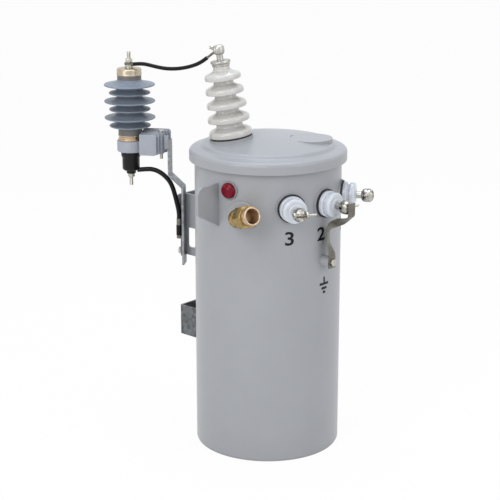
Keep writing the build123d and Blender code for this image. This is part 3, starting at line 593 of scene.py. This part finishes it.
# %% Lead helper
def lead(name, route, diameter):
    """A round lead along a route in metres."""
    curve = bpy.data.curves.new(name, "CURVE")
    curve.dimensions = "3D"
    curve.bevel_depth = diameter / 2
    curve.bevel_resolution = 5
    curve.resolution_u = 10
    curve.use_fill_caps = True
    line = curve.splines.new("NURBS")
    line.points.add(len(route) - 1)
    for point, spot in zip(line.points, route):
        point.co = (*spot, 1)
    line.order_u = 3
    line.use_endpoint_u = True
    piece = bpy.data.objects.new(name, curve)
    bpy.context.scene.collection.objects.link(piece)
    curve.materials.append(lead_insulation)
    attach(piece, "root")
    print(name, "with", len(route), "route points")
    return piece


# %% Jumper lead
jumper_route = [
    (-0.1302, 0.3317, 0.9350),
    (-0.1246, 0.3069, 0.9391),
    (-0.1180, 0.2774, 0.9351),
    (-0.1109, 0.2460, 0.9314),
    (-0.1037, 0.2146, 0.9327),
    (-0.0974, 0.1859, 0.9380),
    (-0.0918, 0.1610, 0.9456),
    (-0.0867, 0.1388, 0.9561),
    (-0.0834, 0.1240, 0.9675),
]
jumper = lead("jumper_line", jumper_route, diameter=0.0095)
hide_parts("jumper_lead")

# %% Ground lead
ground_route = [
    (-0.1186, 0.3258, 0.6655),
    (-0.1079, 0.3093, 0.6680),
    (-0.0991, 0.2957, 0.6665),
    (-0.0916, 0.2824, 0.6602),
    (-0.0851, 0.2696, 0.6495),
    (-0.0803, 0.2594, 0.6370),
    (-0.0773, 0.2521, 0.6200),
    (-0.0754, 0.2464, 0.6000),
    (-0.0734, 0.2416, 0.5790),
    (-0.0712, 0.2380, 0.5590),
    (-0.0712, 0.2380, 0.5440),
]
ground = lead("ground_line", ground_route, diameter=0.012)
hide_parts("ground_lead")

# %% [markdown]
# ## Places
#
# Most pieces stand on the round wall or along a tilted axis. Each is modelled upright at
# the origin, in millimetres, and one matrix then carries it to its real place in metres.

# %% Helpers for places
tank_radius = 180
to_metres = Matrix.Scale(0.001, 4)
upright = Vector((0, 0, 1))


def placed(place, x_way, z_way):
    """The move from a piece's own axes, in millimetres, to its real place."""
    z_way = Vector(z_way).normalized()
    x_way = Vector(x_way).normalized()
    turn = Matrix((x_way, z_way.cross(x_way), z_way)).transposed().to_4x4()
    return Matrix.Translation(Vector(place) / 1000) @ turn @ to_metres


def around(angle, radius, height):
    """A point at this angle round the tank, in millimetres."""
    return Vector((radius * sin(radians(angle)), -radius * cos(radians(angle)), height))


def on_wall(angle, height):
    """Axes on the tank's wall: Z straight out, Y up."""
    out = around(angle, 1, 0)
    return placed(around(angle, tank_radius, height), upright.cross(out), out)


def gather(target, shape, *places):
    """Adds a copy of a shape to a mesh at each place, and lets go of the shape."""
    pattern = bpy.data.meshes.new("pattern")
    shape.to_mesh(pattern)
    shape.free()
    for place in places:
        kept = len(target.verts)
        target.from_mesh(pattern)
        target.verts.ensure_lookup_table()
        bmesh.ops.transform(target, matrix=place, verts=target.verts[kept:])
    bpy.data.meshes.remove(pattern)


# %% Helpers for finished pieces
def finish_mesh(name, mesh):
    """An object from a finished mesh, smooth but for its real edges, riding on the root."""
    data = bpy.data.meshes.new(name)
    mesh.to_mesh(data)
    mesh.free()
    data.shade_smooth()
    data.set_sharp_from_angle(angle=radians(32))
    piece = bpy.data.objects.new(name, data)
    bpy.context.scene.collection.objects.link(piece)
    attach(piece, "root")
    return piece


def dress(piece, slot_name, *nodes, finish=None):
    """Gives a new piece its finish and hides the CAD pieces that it stands for."""
    piece.data.materials.append(finish or finishes[slot_name])
    if nodes:
        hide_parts(*nodes)
    print(piece.name, len(piece.data.polygons), "faces")


# %% [markdown]
# ## Turned pieces
#
# Porcelain is turned on a lathe before it is fired, and a spun outline is the same act: a
# few outline points have their corners rounded by a vertex bevel, and a full spin about
# the axis closes the surface. Outlines are in millimetres, as radius and height.


# %% Lathe helpers
def round_corners(mesh, corners, cuts):
    """Rounds each corner of an outline by its own cut length."""
    for corner, cut in zip(corners, cuts):
        if cut > 0:
            bmesh.ops.bevel(
                mesh,
                geom=[corner],
                offset=cut,
                offset_type="OFFSET",
                affect="VERTICES",
                segments=5,
                profile=0.5,
                material=-1,
            )


def spun(outline, cuts=(), closed=False, steps=96):
    """A mesh spun about the lathe's axis from (radius, height) points, rounded by cuts."""
    mesh = bmesh.new()
    corners = [mesh.verts.new((radius, 0, height)) for radius, height in outline]
    for first, second in zip(corners, corners[1:]):
        mesh.edges.new((first, second))
    if closed:
        mesh.edges.new((corners[-1], corners[0]))
    round_corners(mesh, corners, cuts)
    bmesh.ops.spin(
        mesh,
        geom=mesh.verts[:] + mesh.edges[:],
        cent=(0, 0, 0),
        axis=(0, 0, 1),
        angle=2 * pi,
        steps=steps,
        use_merge=True,
    )
    bmesh.ops.remove_doubles(mesh, verts=mesh.verts[:], dist=0.001)
    bmesh.ops.recalc_face_normals(mesh, faces=mesh.faces[:])
    return mesh


def round_bar(radius, low, high, cut, steps=96):
    """A solid round piece from low to high, with both its rims rounded by cut."""
    return spun([(0, low), (radius, low), (radius, high), (0, high)], [0, cut, cut, 0], steps=steps)


# %% [markdown]
# ## Tall bushing
#
# The high-voltage bushing has four sheds with drooping rims above a thick flange. Rain
# drips from each rim instead of running down the stem, so the rims are the shape to keep.

# %% Axis of the tall bushing
bushing_tilt = radians(7.8)
bushing_out = around(-138.5, 1, 0)
bushing_up = bushing_out * sin(bushing_tilt) + upright * cos(bushing_tilt)
bushing_foot = bushing_out * 90 + upright * 778
bushing_axis = placed(bushing_foot, bushing_out.cross(upright), bushing_up)
print("bushing foot at", [round(side, 1) for side in bushing_foot], "mm")

# %% High-voltage porcelain
bore_radius = 8
neck_height = 176
first_shed = 48.5
shed_spacing = 34.3
shed_rims = (51.5, 49, 47, 44.5)
stem_radii = (32.5, 28.5, 26.5, 24.5, 20.5)
stem_outline = [(bore_radius, -60), (31, -60), (31, 4), (53, 4), (53, 18), (32.5, 26)]
stem_cuts = [0, 2, 0, 1.5, 6, 4]
for number, rim in enumerate(shed_rims):
    middle = first_shed + shed_spacing * number
    stem_outline += [
        (stem_radii[number], middle - 3),
        (rim - 9, middle - 5.5),
        (rim - 3, middle - 8),
        (rim, middle - 8),
        (rim, middle + 4),
        (stem_radii[number + 1], middle + 14),
    ]
    stem_cuts += [3, 2, 0.6, 1.8, 4.5, 4]
stem_outline += [(20.5, neck_height), (bore_radius, neck_height)]
stem_cuts += [2, 0]
tall_bushing = bmesh.new()
gather(tall_bushing, spun(stem_outline, stem_cuts, closed=True), bushing_axis)
dress(finish_mesh("tall_bushing", tall_bushing), "porcelain", "hv_porcelain")

# %% [markdown]
# The cap ring is a thin pressed flange on the porcelain's neck. Above it the clamp is a
# cast ball with a round cheek on each side, where a bolt draws it onto the wire.

# %% Cap ring
cap_ring = bmesh.new()
cap_outline = [
    (bore_radius, neck_height),
    (22, neck_height),
    (22, 181),
    (24.5, 183),
    (24.5, 188),
    (11, 189),
    (bore_radius, 189),
]
gather(cap_ring, spun(cap_outline, [0, 1, 1.5, 1, 2, 1, 0], closed=True), bushing_axis)
dress(finish_mesh("cap_ring", cap_ring), "tinned_metal", "hv_cap")


# %% Clamp of the tall bushing
def sideways(height):
    """Turns a lathe's axis onto Y, at this height along the old axis."""
    return Matrix(((1, 0, 0, 0), (0, 0, 1, 0), (0, -1, 0, height), (0, 0, 0, 1)))


wire_clamp = bmesh.new()
clamp_outline = [(0, 203), (9.5, 203), (13.5, 207), (13.5, 226), (0, 226)]
gather(wire_clamp, spun(clamp_outline, [0, 1.5, 3, 8, 0], steps=64), bushing_axis)
cheek_outline = [(7, -11), (11, -11), (11, 11), (7, 11)]
cheeks = spun(cheek_outline, [1, 1, 1, 1], closed=True, steps=48)
gather(wire_clamp, cheeks, bushing_axis @ sideways(214))
dress(finish_mesh("wire_clamp", wire_clamp), "tinned_metal", "hv_clamp")

# %% [markdown]
# A bolt is a threaded shaft with a hexagon on it. The thread could be a true helix, but at
# this size a row of close grooves looks the same and is spun as any other outline is. A
# hexagon is extruded from its six corners, and a bevel breaks the edges of its two ends.


# %% Helpers for bolts
def shaft(radius, low, high):
    """A stud whose thread is drawn as a row of close grooves."""
    rows = int(high - low - 2)
    length = high - low - 2.4
    turns = [(radius - 0.55 * (row % 2), low + 1.2 + row * length / rows) for row in range(rows + 1)]
    ends = [(radius - 0.8, low), (radius - 0.8, high)]
    return spun([(0, low), ends[0]] + turns + [ends[1], (0, high)], steps=32)


def prism(outline, low, high, cut):
    """A straight piece with this outline, its end edges rounded by cut."""
    mesh = bmesh.new()
    foot = mesh.faces.new([mesh.verts.new((x, y, low)) for x, y in outline])
    raised = bmesh.ops.extrude_face_region(mesh, geom=[foot])
    tops = [item for item in raised["geom"] if isinstance(item, bmesh.types.BMVert)]
    bmesh.ops.translate(mesh, verts=tops, vec=(0, 0, high - low))
    bmesh.ops.recalc_face_normals(mesh, faces=mesh.faces[:])
    ends = [edge for edge in mesh.edges if abs(edge.verts[0].co.z - edge.verts[1].co.z) < 0.001]
    bmesh.ops.bevel(
        mesh,
        geom=ends,
        offset=cut,
        offset_type="OFFSET",
        affect="EDGES",
        segments=3,
        profile=0.5,
        material=-1,
    )
    return mesh


def hexagon(reach, low, high, cut):
    """A bolt head or nut, with its corners this far from the middle."""
    corners = [(reach * cos(2 * pi * side / 6), reach * sin(2 * pi * side / 6)) for side in range(6)]
    return prism(corners, low, high, cut)


# %% Clamp bolt of the tall bushing
bolt_height = 219.5
bolt_start = 5.5
bolt_foot = bushing_foot + bushing_up * bolt_height + bushing_out * bolt_start
bolt_way = placed(bolt_foot, bushing_up, bushing_out)
clamp_bolt = bmesh.new()
gather(clamp_bolt, shaft(radius=4, low=0, high=17), bolt_way)
gather(clamp_bolt, hexagon(reach=6.5, low=6, high=12, cut=0.7), bolt_way)
dress(finish_mesh("wire_clamp_bolt", clamp_bolt), "plated_steel", "hv_clamp_bolt")

# %% [markdown]
# ## Side bushings
#
# Each low-voltage bushing is a short porcelain: a flange on the gasket, a groove and a
# bell. Its stud carries a ball-like clamp that is split down the middle, and a long bolt
# with washers and a nut closes it. One shape serves all three places.

# %% Side porcelains
side_angles = (-31, 0, 31)
side_height = 643
side_places = [on_wall(angle, side_height) for angle in side_angles]
side_outline = [
    (8.5, -28),
    (21, -28),
    (21, 7),
    (31.5, 7),
    (31.5, 17),
    (25.5, 18),
    (25.5, 22),
    (30, 23),
    (30, 37),
    (17, 37),
    (15, 39),
    (8.5, 39),
]
side_cuts = [0, 2, 0, 1.5, 3, 1.2, 1.2, 3, 6, 1.5, 1, 0]
side_bushings = bmesh.new()
gather(side_bushings, spun(side_outline, side_cuts, closed=True), *side_places)
dress(finish_mesh("side_bushings", side_bushings), "porcelain", "lv_porcelains", finish=white_porcelain)


# %% Side clamps
def sliced(mesh, place, kept_way):
    """The part of a closed shape on the kept side of a plane, closed again."""
    cut = bmesh.ops.bisect_plane(
        mesh,
        geom=mesh.verts[:] + mesh.edges[:] + mesh.faces[:],
        plane_co=place,
        plane_no=kept_way,
        clear_inner=True,
    )
    rims = [item for item in cut["geom_cut"] if isinstance(item, bmesh.types.BMEdge)]
    bmesh.ops.contextual_create(mesh, geom=rims)
    bmesh.ops.recalc_face_normals(mesh, faces=mesh.faces[:])
    return mesh


def clamp_ball():
    """The whole ball of a side clamp, before it is split."""
    return round_bar(radius=16.5, low=50, high=81, cut=12, steps=64)


split_foot = (0, 0, 57)
half_gap = 2.5
side_clamps = bmesh.new()
gather(side_clamps, sliced(clamp_ball(), split_foot, (0, 0, -1)), *side_places)
for way in (-1, 1):
    upper_half = sliced(clamp_ball(), split_foot, (0, 0, 1))
    cheek = sliced(upper_half, (0, way * half_gap, 0), (0, way, 0))
    gather(side_clamps, cheek, *side_places)
dress(finish_mesh("side_clamps", side_clamps), "tinned_metal", "lv_connectors", finish=weathered_clamp)


# %% Side clamp bolts
def crossways(height):
    """Turns a lathe's axis onto X, at this height along the old axis."""
    return Matrix(((0, 0, 1, 0), (1, 0, 0, 0), (0, 1, 0, height), (0, 0, 0, 1)))


bolt_places = [place @ crossways(72) for place in side_places]
side_bolts = bmesh.new()
gather(side_bolts, shaft(radius=3.5, low=-12.5, high=38), *bolt_places)
gather(side_bolts, hexagon(reach=7, low=-17.5, high=-13.5, cut=0.8), *bolt_places)
gather(side_bolts, round_bar(radius=8, low=-13.5, high=-12.5, cut=0.3, steps=40), *bolt_places)
gather(side_bolts, hexagon(reach=7, low=13.5, high=18.5, cut=0.8), *bolt_places)
gather(side_bolts, round_bar(radius=8, low=12.5, high=13.5, cut=0.3, steps=40), *bolt_places)
dress(finish_mesh("side_clamp_bolts", side_bolts), "plated_steel", "lv_clamp_bolts")

# %% [markdown]
# ## Signal lamp
#
# The lamp is a moulded dome in a screwed rim. The dome is a flattened cap of polycarbonate,
# and the rim is a separate ring because the real one is a nut that holds the lens.

# %% Lamp and rim
lamp_place = on_wall(angle=-78.8, height=682)
lens_radius = 19
lens_edge = 5
lens_rise = 10
dome = [
    (lens_radius * cos(radians(turn)), lens_edge + lens_rise * sin(radians(turn)))
    for turn in range(10, 91, 10)
]
lens = bmesh.new()
lens_outline = [(0, 3), (lens_radius, 3), (lens_radius, lens_edge)] + dome
gather(lens, spun(lens_outline, steps=72), lamp_place)
dress(finish_mesh("lamp_lens", lens), "red_lens", "signal_lamp")

rim = bmesh.new()
rim_outline = [(18.5, -3.5), (22, -3.5), (22, 4), (19, 4)]
gather(rim, spun(rim_outline, [0, 0, 1.5, 0.2], closed=True, steps=72), lamp_place)
dress(finish_mesh("lamp_rim", rim), "pale_plastic", "lamp_bezel")

# %% [markdown]
# ## Brass fitting
#
# A cast elbow leaves its boss, turns in a ball and ends in a hexagon that holds a bronze
# collar with a threaded socket. The ball and the neck stay rough from the sand, and the
# hexagon and the collar's lip are machined, so their edges keep a crisp chamfer.


# %% Elbow
def bored(mesh, radius, low, high):
    """Sinks a round bore with a flat floor into the top face of a piece."""
    top = max(mesh.faces, key=lambda face: face.calc_center_median().z)
    outer = top.edges[:]
    bmesh.ops.delete(mesh, geom=[top], context="FACES_ONLY")
    level = Matrix.Translation((0, 0, high))
    mouth = bmesh.ops.create_circle(mesh, cap_ends=False, segments=48, radius=radius, matrix=level)
    inner = list({edge for vert in mouth["verts"] for edge in vert.link_edges})
    bmesh.ops.bridge_loops(mesh, edges=outer + inner)
    sunk = bmesh.ops.extrude_edge_only(mesh, edges=inner)
    floor_rim = [item for item in sunk["geom"] if isinstance(item, bmesh.types.BMVert)]
    floor_edges = [item for item in sunk["geom"] if isinstance(item, bmesh.types.BMEdge)]
    bmesh.ops.translate(mesh, verts=floor_rim, vec=(0, 0, low - high))
    bmesh.ops.contextual_create(mesh, geom=floor_edges)
    bmesh.ops.recalc_face_normals(mesh, faces=mesh.faces[:])
    return mesh


fitting_angle = -68.5
fitting_height = 624
fitting_place = on_wall(fitting_angle, fitting_height)
socket_rise = radians(17)
socket_out = around(-16, 1, 0)
socket_way = socket_out * cos(socket_rise) + upright * sin(socket_rise)
ball_middle = around(fitting_angle, tank_radius + 28, fitting_height)
socket_place = placed(ball_middle, socket_out.cross(upright), socket_way)

elbow = bmesh.new()
neck = [(0, 6.2), (22, 6.2), (20, 9.5), (20, 28), (0, 28)]
gather(elbow, spun(neck, [0, 0.5, 2, 0, 0], steps=64), fitting_place)
ball = [(22.3 * sin(radians(turn)), 28.3 - 22 * cos(radians(turn))) for turn in range(0, 181, 10)]
gather(elbow, spun(ball, steps=64), fitting_place)
hexagon_top = 53
machined = hexagon(reach=28.87, low=20, high=hexagon_top, cut=1.6)
gather(elbow, bored(machined, radius=20, low=25, high=hexagon_top), socket_place)
dress(finish_mesh("elbow", elbow), "brass", "brass_elbow")

# %% Socket collar
collar = bmesh.new()
bore = [(17.5 + 0.9 * (number % 2), 68 - 2 * number) for number in range(20)]
collar_outline = [(0, 23), (21, 23), (22, 50), (22, 70), (18.6, 70)] + bore + [(0, 28)]
gather(collar, spun(collar_outline, [0, 0, 0, 2, 0.8], steps=72), socket_place)
dress(finish_mesh("socket_collar", collar), "brass", finish=bronze)

# %% [markdown]
# ## Surge arrester
#
# The housing is silicone moulded over a stack of varistors: large sheds alternate with
# small ones, so that rain can't bridge them. The stem between the sheds is a piece of its
# own, painted darker and browner than they are as painted shade and reflection between the
# sheds. Below it the arrester stands on a bronze ring, and on top a metal cap takes the
# line stud.

# %% Axis of the arrester
bar_out = around(-147, 1, 0)
bar_across = bar_out.cross(upright)
bar_foot = Vector((-45, 240, 0)) - bar_across * 15
arrester_reach = 137
arrester_place = placed(bar_foot + bar_out * arrester_reach, bar_out, upright)
cup_low = 655.5
arm_low = 713.5
ring_low = 742.5
housing_low = 756.5
housing_top = 907
cap_top = 926.5
print("arrester from", cup_low, "to", cap_top, "mm")

# %% Housing and stem
stem_radius = 30
top_shed = 883
shed_pitch = 20.75
wide_rim = 63.9
narrow_rim = 51.9
hollow_share = 0.42
housing_outline = [(0, housing_low), (stem_radius, housing_low)]
housing_cuts = [0, 1]
for number in range(6):
    edge = top_shed - (5 - number) * shed_pitch
    rim = wide_rim if number % 2 else narrow_rim
    hollow = stem_radius + (rim - stem_radius) * hollow_share
    housing_outline += [
        (stem_radius, edge - 0.5),
        (rim - 4, edge - 2),
        (rim, edge - 2),
        (rim, edge + 1.2),
        (hollow, edge + 3.6),
        (stem_radius, edge + 11),
    ]
    housing_cuts += [3, 1, 1.4, 1.4, 6, 3.5]
housing_outline += [(stem_radius, housing_top), (0, housing_top)]
housing_cuts += [0.5, 0]
housing = bmesh.new()
gather(housing, spun(housing_outline, housing_cuts), arrester_place)
dress(finish_mesh("sheds_housing", housing), "polymer_grey", "arrester_housing")

# The stem's darker, browner silicone is painted shade and reflection between the sheds.
stem = bmesh.new()
gather(stem, round_bar(radius=30.2, low=757.5, high=906, cut=0.5), arrester_place)
dress(finish_mesh("housing_stem", stem), "polymer_grey", finish=painted_shade_silicone)

# %% Cap and ring
cap = bmesh.new()
top_outline = [
    (0, housing_top),
    (31.5, housing_top),
    (31.5, 910),
    (30.8, 911),
    (30.8, 923.5),
    (10, cap_top),
    (0, cap_top),
]
gather(cap, spun(top_outline, [0, 0.8, 0.5, 0.5, 3, 1, 0], steps=80), arrester_place)
dress(finish_mesh("arrester_top", cap), "galvanised_steel", "arrester_cap", finish=plated_brass)

ring = bmesh.new()
ring_outline = [
    (0, ring_low),
    (31, ring_low),
    (31, 747),
    (29, 748),
    (29, 752),
    (31, 753),
    (31, housing_low),
    (0, housing_low),
]
gather(ring, spun(ring_outline, [0, 1, 1, 0.5, 0.5, 1, 1, 0], steps=80), arrester_place)
dress(finish_mesh("bronze_ring", ring), "brass", "arrester_base_ring", finish=bronze)

# %% Studs and nuts of the arrester
line_stud = bmesh.new()
gather(line_stud, shaft(radius=5, low=cap_top, high=965.9), arrester_place)
dress(finish_mesh("line_stud", line_stud), "plated_steel", "arrester_stud")

ground_stud = bmesh.new()
gather(ground_stud, shaft(radius=5, low=625.1, high=cup_low), arrester_place)
dress(finish_mesh("ground_stud", ground_stud), "plated_steel", "disconnector_stud")

nuts = bmesh.new()
gather(nuts, hexagon(reach=9, low=937.5, high=947.5, cut=1), arrester_place)
gather(nuts, hexagon(reach=9, low=646.5, high=cup_low, cut=1), arrester_place)
dress(finish_mesh("stud_nuts", nuts), "plated_steel", "arrester_nuts")

# %% [markdown]
# The bracket that holds the arrester is one moulding. Six upright plates stiffen it and
# lengthen the creepage path, each set back from the next, and a thick arm ends in an eye.
# A foot reaches the bar, and a sleeve stands round the bolt that passes through the plates.


# %% Insulating bracket
def rounded_box(left, right, low, high, radius):
    """Outline of a rectangle with round corners, the right ones first."""
    corners = (
        (right - radius, low + radius, -90),
        (right - radius, high - radius, 0),
        (left + radius, high - radius, 90),
        (left + radius, low + radius, 180),
    )
    return [
        (x + radius * cos(radians(start + step)), y + radius * sin(radians(start + step)))
        for x, y, start in corners
        for step in range(0, 91, 15)
    ]


plate_place = placed(bar_foot, bar_out, bar_across)
plate_low = 708.5
plate_end = 108
holder = bmesh.new()
for number in range(6):
    plate_top = 767.5 - number
    whole = rounded_box(39 + 5 * number, plate_end, plate_low, plate_top, radius=7)
    left_corners = whole[len(whole) // 2 :]
    plate = [(plate_end, plate_low), (plate_end, plate_top)] + left_corners
    middle = 27.5 - 11 * number
    gather(holder, prism(plate, low=middle - 3, high=middle + 3, cut=1.5), plate_place)
core = prism(rounded_box(69, 102, arm_low, 757.5, radius=5), low=-27, high=27, cut=1)
gather(holder, core, plate_place)
foot = prism(rounded_box(39, 50, 720.5, 755.5, radius=1), low=-2.4, high=2.4, cut=0.5)
gather(holder, foot, plate_place)
arm = prism(rounded_box(91, arrester_reach, arm_low, ring_low, radius=1), low=-22, high=22, cut=0.8)
gather(holder, arm, plate_place)
sleeve_reach = 58
sleeve_place = placed(bar_foot + bar_out * sleeve_reach, bar_out, upright)
gather(holder, round_bar(radius=6.5, low=709, high=765.5, cut=1, steps=48), sleeve_place)
gather(holder, round_bar(radius=34, low=arm_low, high=ring_low, cut=3, steps=80), arrester_place)
dress(finish_mesh("arrester_holder", holder), "bracket_resin", "arrester_bracket")

# %% [markdown]
# The disconnector is a black cup under the eye. If the arrester fails, a small charge in it
# throws the ground lead off. The lead leaves it through a short outlet at the lead's start.

# %% Disconnector
cup = bmesh.new()
cup_outline = [
    (0, cup_low),
    (12, cup_low),
    (12, 663.5),
    (22, 663.5),
    (22, 696.5),
    (24.5, 701.5),
    (24.5, arm_low),
    (0, arm_low),
]
gather(cup, spun(cup_outline, [0, 1.5, 1.5, 7, 2, 1.5, 1, 0], steps=80), arrester_place)
lead_start = Vector(ground_route[0]) * 1000
outlet_way = lead_start - Vector(ground_route[1]) * 1000
outlet = [(0, 0), (6, 0), (6, 8), (0, 8)]
gather(cup, spun(outlet, [0, 0.5, 0, 0], steps=40), placed(lead_start, upright, outlet_way))
dress(finish_mesh("disconnector_cup", cup), "black_plastic", "disconnector")

# %% [markdown]
# ## Small things
#
# A crimp sleeve on the ground lug and the hexagon heads of two bolts are small, but the
# eye looks for them: they tell that the circuit to ground is a real, bolted one.

# %% Crimp sleeve
sleeve = bmesh.new()
lead_end = Vector(ground_route[-1]) * 1000
sleeve_outline = [(6.5, -44), (7.9, -44), (7.9, -17), (6.5, -17)]
crimp = spun(sleeve_outline, [0, 1, 1, 0], closed=True, steps=40)
gather(sleeve, crimp, placed(lead_end, bar_out, upright))
dress(finish_mesh("crimp_sleeve", sleeve), "lead_insulation")

# %% Bolt heads of the ground circuit
ground_head = bmesh.new()
gather(ground_head, hexagon(reach=9.5, low=26.5, high=33, cut=1), on_wall(angle=0, height=500))
dress(finish_mesh("ground_head", ground_head), "plated_steel", "ground_bolt")

lug_head = bmesh.new()
lug_height = 460
head_foot = bar_foot + bar_out * 8 - bar_across * 8 + upright * lug_height
gather(lug_head, hexagon(reach=9.5, low=0, high=6.5, cut=1), placed(head_foot, upright, bar_out))
dress(finish_mesh("lug_head", lug_head), "plated_steel", "ground_lug_bolt")

# %% [markdown]
# ## Ground strap
#
# The strap is soft tinned copper, bent by hand, and its middle twists a little on the way.
# It could be a curve with a bevel, but a curve's tilt is hard to steer by height. So the
# flat section is extruded from point to point of a bent path and turned at each of them,
# and the end that each step leaves inside the strap is deleted.


# %% Helpers for the strap
def bent(corners, bends):
    """A path with its corners rounded by these radii, as points about 3 mm apart."""
    shares = (0, 0.2, 0.4, 0.6, 0.8, 1)
    turns = [Vector(corners[0])]
    for before, corner, after, radius in zip(corners, corners[1:], corners[2:], bends):
        middle = Vector(corner)
        back = (Vector(before) - middle).normalized()
        ahead = (Vector(after) - middle).normalized()
        reach = radius / tan(back.angle(ahead) / 2)
        start = middle + back * reach
        end = middle + ahead * reach
        turns += [start.lerp(middle, t).lerp(middle.lerp(end, t), t) for t in shares]
    turns.append(Vector(corners[-1]))
    path = []
    for start, end in zip(turns, turns[1:]):
        steps = max(1, round((end - start).length / 3))
        path += [start.lerp(end, step / steps) for step in range(steps)]
    return path + [turns[-1]]


known_twists = (
    (655, 0),
    (619, 0),
    (606, -44),
    (594, -38),
    (574, 24),
    (548, 24),
    (522, 4),
    (508, 0),
    (480, 0),
)


def twist_at(height):
    """Turn of the strap in degrees at this height, from a few known heights and turns."""
    for (high, start), (low, end) in zip(known_twists, known_twists[1:]):
        if low <= height <= high:
            return start + (end - start) * (high - height) / (high - low)
    return 0


# %% Path and section of the strap
# The path is given as distance from the tank's axis and height.
strap_corners = (
    (262.25, 655),
    (262.25, 622),
    (210, 596),
    (192.5, 578),
    (192.5, 545),
    (205.25, 520),
    (205.25, 486),
)
strap_path = bent(strap_corners, (10, 18, 14, 18, 18))
# The section is 25 by 2.5 mm, with its four long edges broken.
strap_section = (
    (12.5, -0.7),
    (12.5, 0.7),
    (11.9, 1.25),
    (-11.9, 1.25),
    (-12.5, 0.7),
    (-12.5, -0.7),
    (-11.9, -1.25),
    (11.9, -1.25),
)


def section_at(number):
    """The strap's section at this point of its path, square to the path and twisted."""
    spot = strap_path[number]
    ahead = strap_path[min(number + 1, len(strap_path) - 1)]
    behind = strap_path[max(number - 1, 0)]
    way = (ahead - behind).normalized()
    upward = Vector((0, -way.y, -way.x))
    turn = radians(twist_at(spot.y))
    wide = Vector((cos(turn), 0, 0)) + upward * sin(turn)
    thick = Vector((-sin(turn), 0, 0)) + upward * cos(turn)
    centre = Vector((0, -spot.x, spot.y))
    return [centre + wide * x + thick * y for x, y in strap_section]


print("strap path of", len(strap_path), "points")

# %% Ground strap
strap = bmesh.new()
end_face = strap.faces.new([strap.verts.new(point) for point in section_at(0)])
for number in range(1, len(strap_path)):
    raised = bmesh.ops.extrude_face_region(strap, geom=[end_face])
    if number > 1:
        bmesh.ops.delete(strap, geom=[end_face], context="FACES_ONLY")
    end_face = next(item for item in raised["geom"] if isinstance(item, bmesh.types.BMFace))
    for vert, point in zip(end_face.verts, section_at(number)):
        vert.co = point
bmesh.ops.recalc_face_normals(strap, faces=strap.faces[:])
whole_strap = bmesh.new()
gather(whole_strap, strap, to_metres)
dress(finish_mesh("twisted_strap", whole_strap), "tinned_copper", "ground_strap")

# %% [markdown]
# ## Numerals and the ground mark
#
# Plain vinyl numerals name the three side bushings, and the general earth symbol stands
# under the strap. Each is a thin flat shape that is cut finely enough to follow the wall,
# and then wrapped onto it, a third of a millimetre proud.


# %% Helpers for the vinyl
film_lift = 0.3
half_film = 0.2
longest_edge = 4


def wrapped(mesh, angle, height):
    """Bends a flat shape round the tank's wall, its middle at this angle and height."""
    mm_per_degree = pi * tank_radius / 180
    middle_radius = tank_radius + film_lift
    long_edges = [edge for edge in mesh.edges if edge.calc_length() > longest_edge]
    bmesh.ops.subdivide_edges(mesh, edges=long_edges, cuts=5)
    bmesh.ops.triangulate(mesh, faces=mesh.faces[:])
    for vert in mesh.verts:
        vert.co = around(angle + vert.co.x / mm_per_degree, middle_radius + vert.co.z, height + vert.co.y)
    return mesh


def flat_digit(text, size):
    """A thin bold digit in millimetres, a little wider than the plain font."""
    letters = bpy.data.curves.new("digit", "FONT")
    letters.body = text
    letters.size = size
    letters.extrude = half_film
    letters.offset = 0.7
    letters.resolution_u = 6
    letters.align_x = "CENTER"
    holder = bpy.data.objects.new("digit", letters)
    flat = bpy.data.meshes.new_from_object(holder)
    mesh = bmesh.new()
    mesh.from_mesh(flat)
    bmesh.ops.scale(mesh, verts=mesh.verts[:], vec=(1.2, 1, 1))
    bpy.data.objects.remove(holder)
    return mesh


# %% Numerals and ground mark
digit_size = 46
digit_height = 553
numerals = bmesh.new()
for text, angle in (("3", -31.9), ("2", -3.5), ("1", 31.9)):
    gather(numerals, wrapped(flat_digit(text, digit_size), angle, digit_height), to_metres)
mark_middle = 436
mark_angle = 0.8
for half_width, low, high in ((2.5, 443, 458), (16, 438, 444), (9.5, 427, 433), (4.5, 417, 423)):
    outline = rounded_box(-half_width, half_width, low - mark_middle, high - mark_middle, radius=0.5)
    stroke = prism(outline, low=-half_film, high=half_film, cut=0.05)
    gather(numerals, wrapped(stroke, mark_angle, mark_middle), to_metres)
dress(finish_mesh("numerals", numerals), "black_plastic")
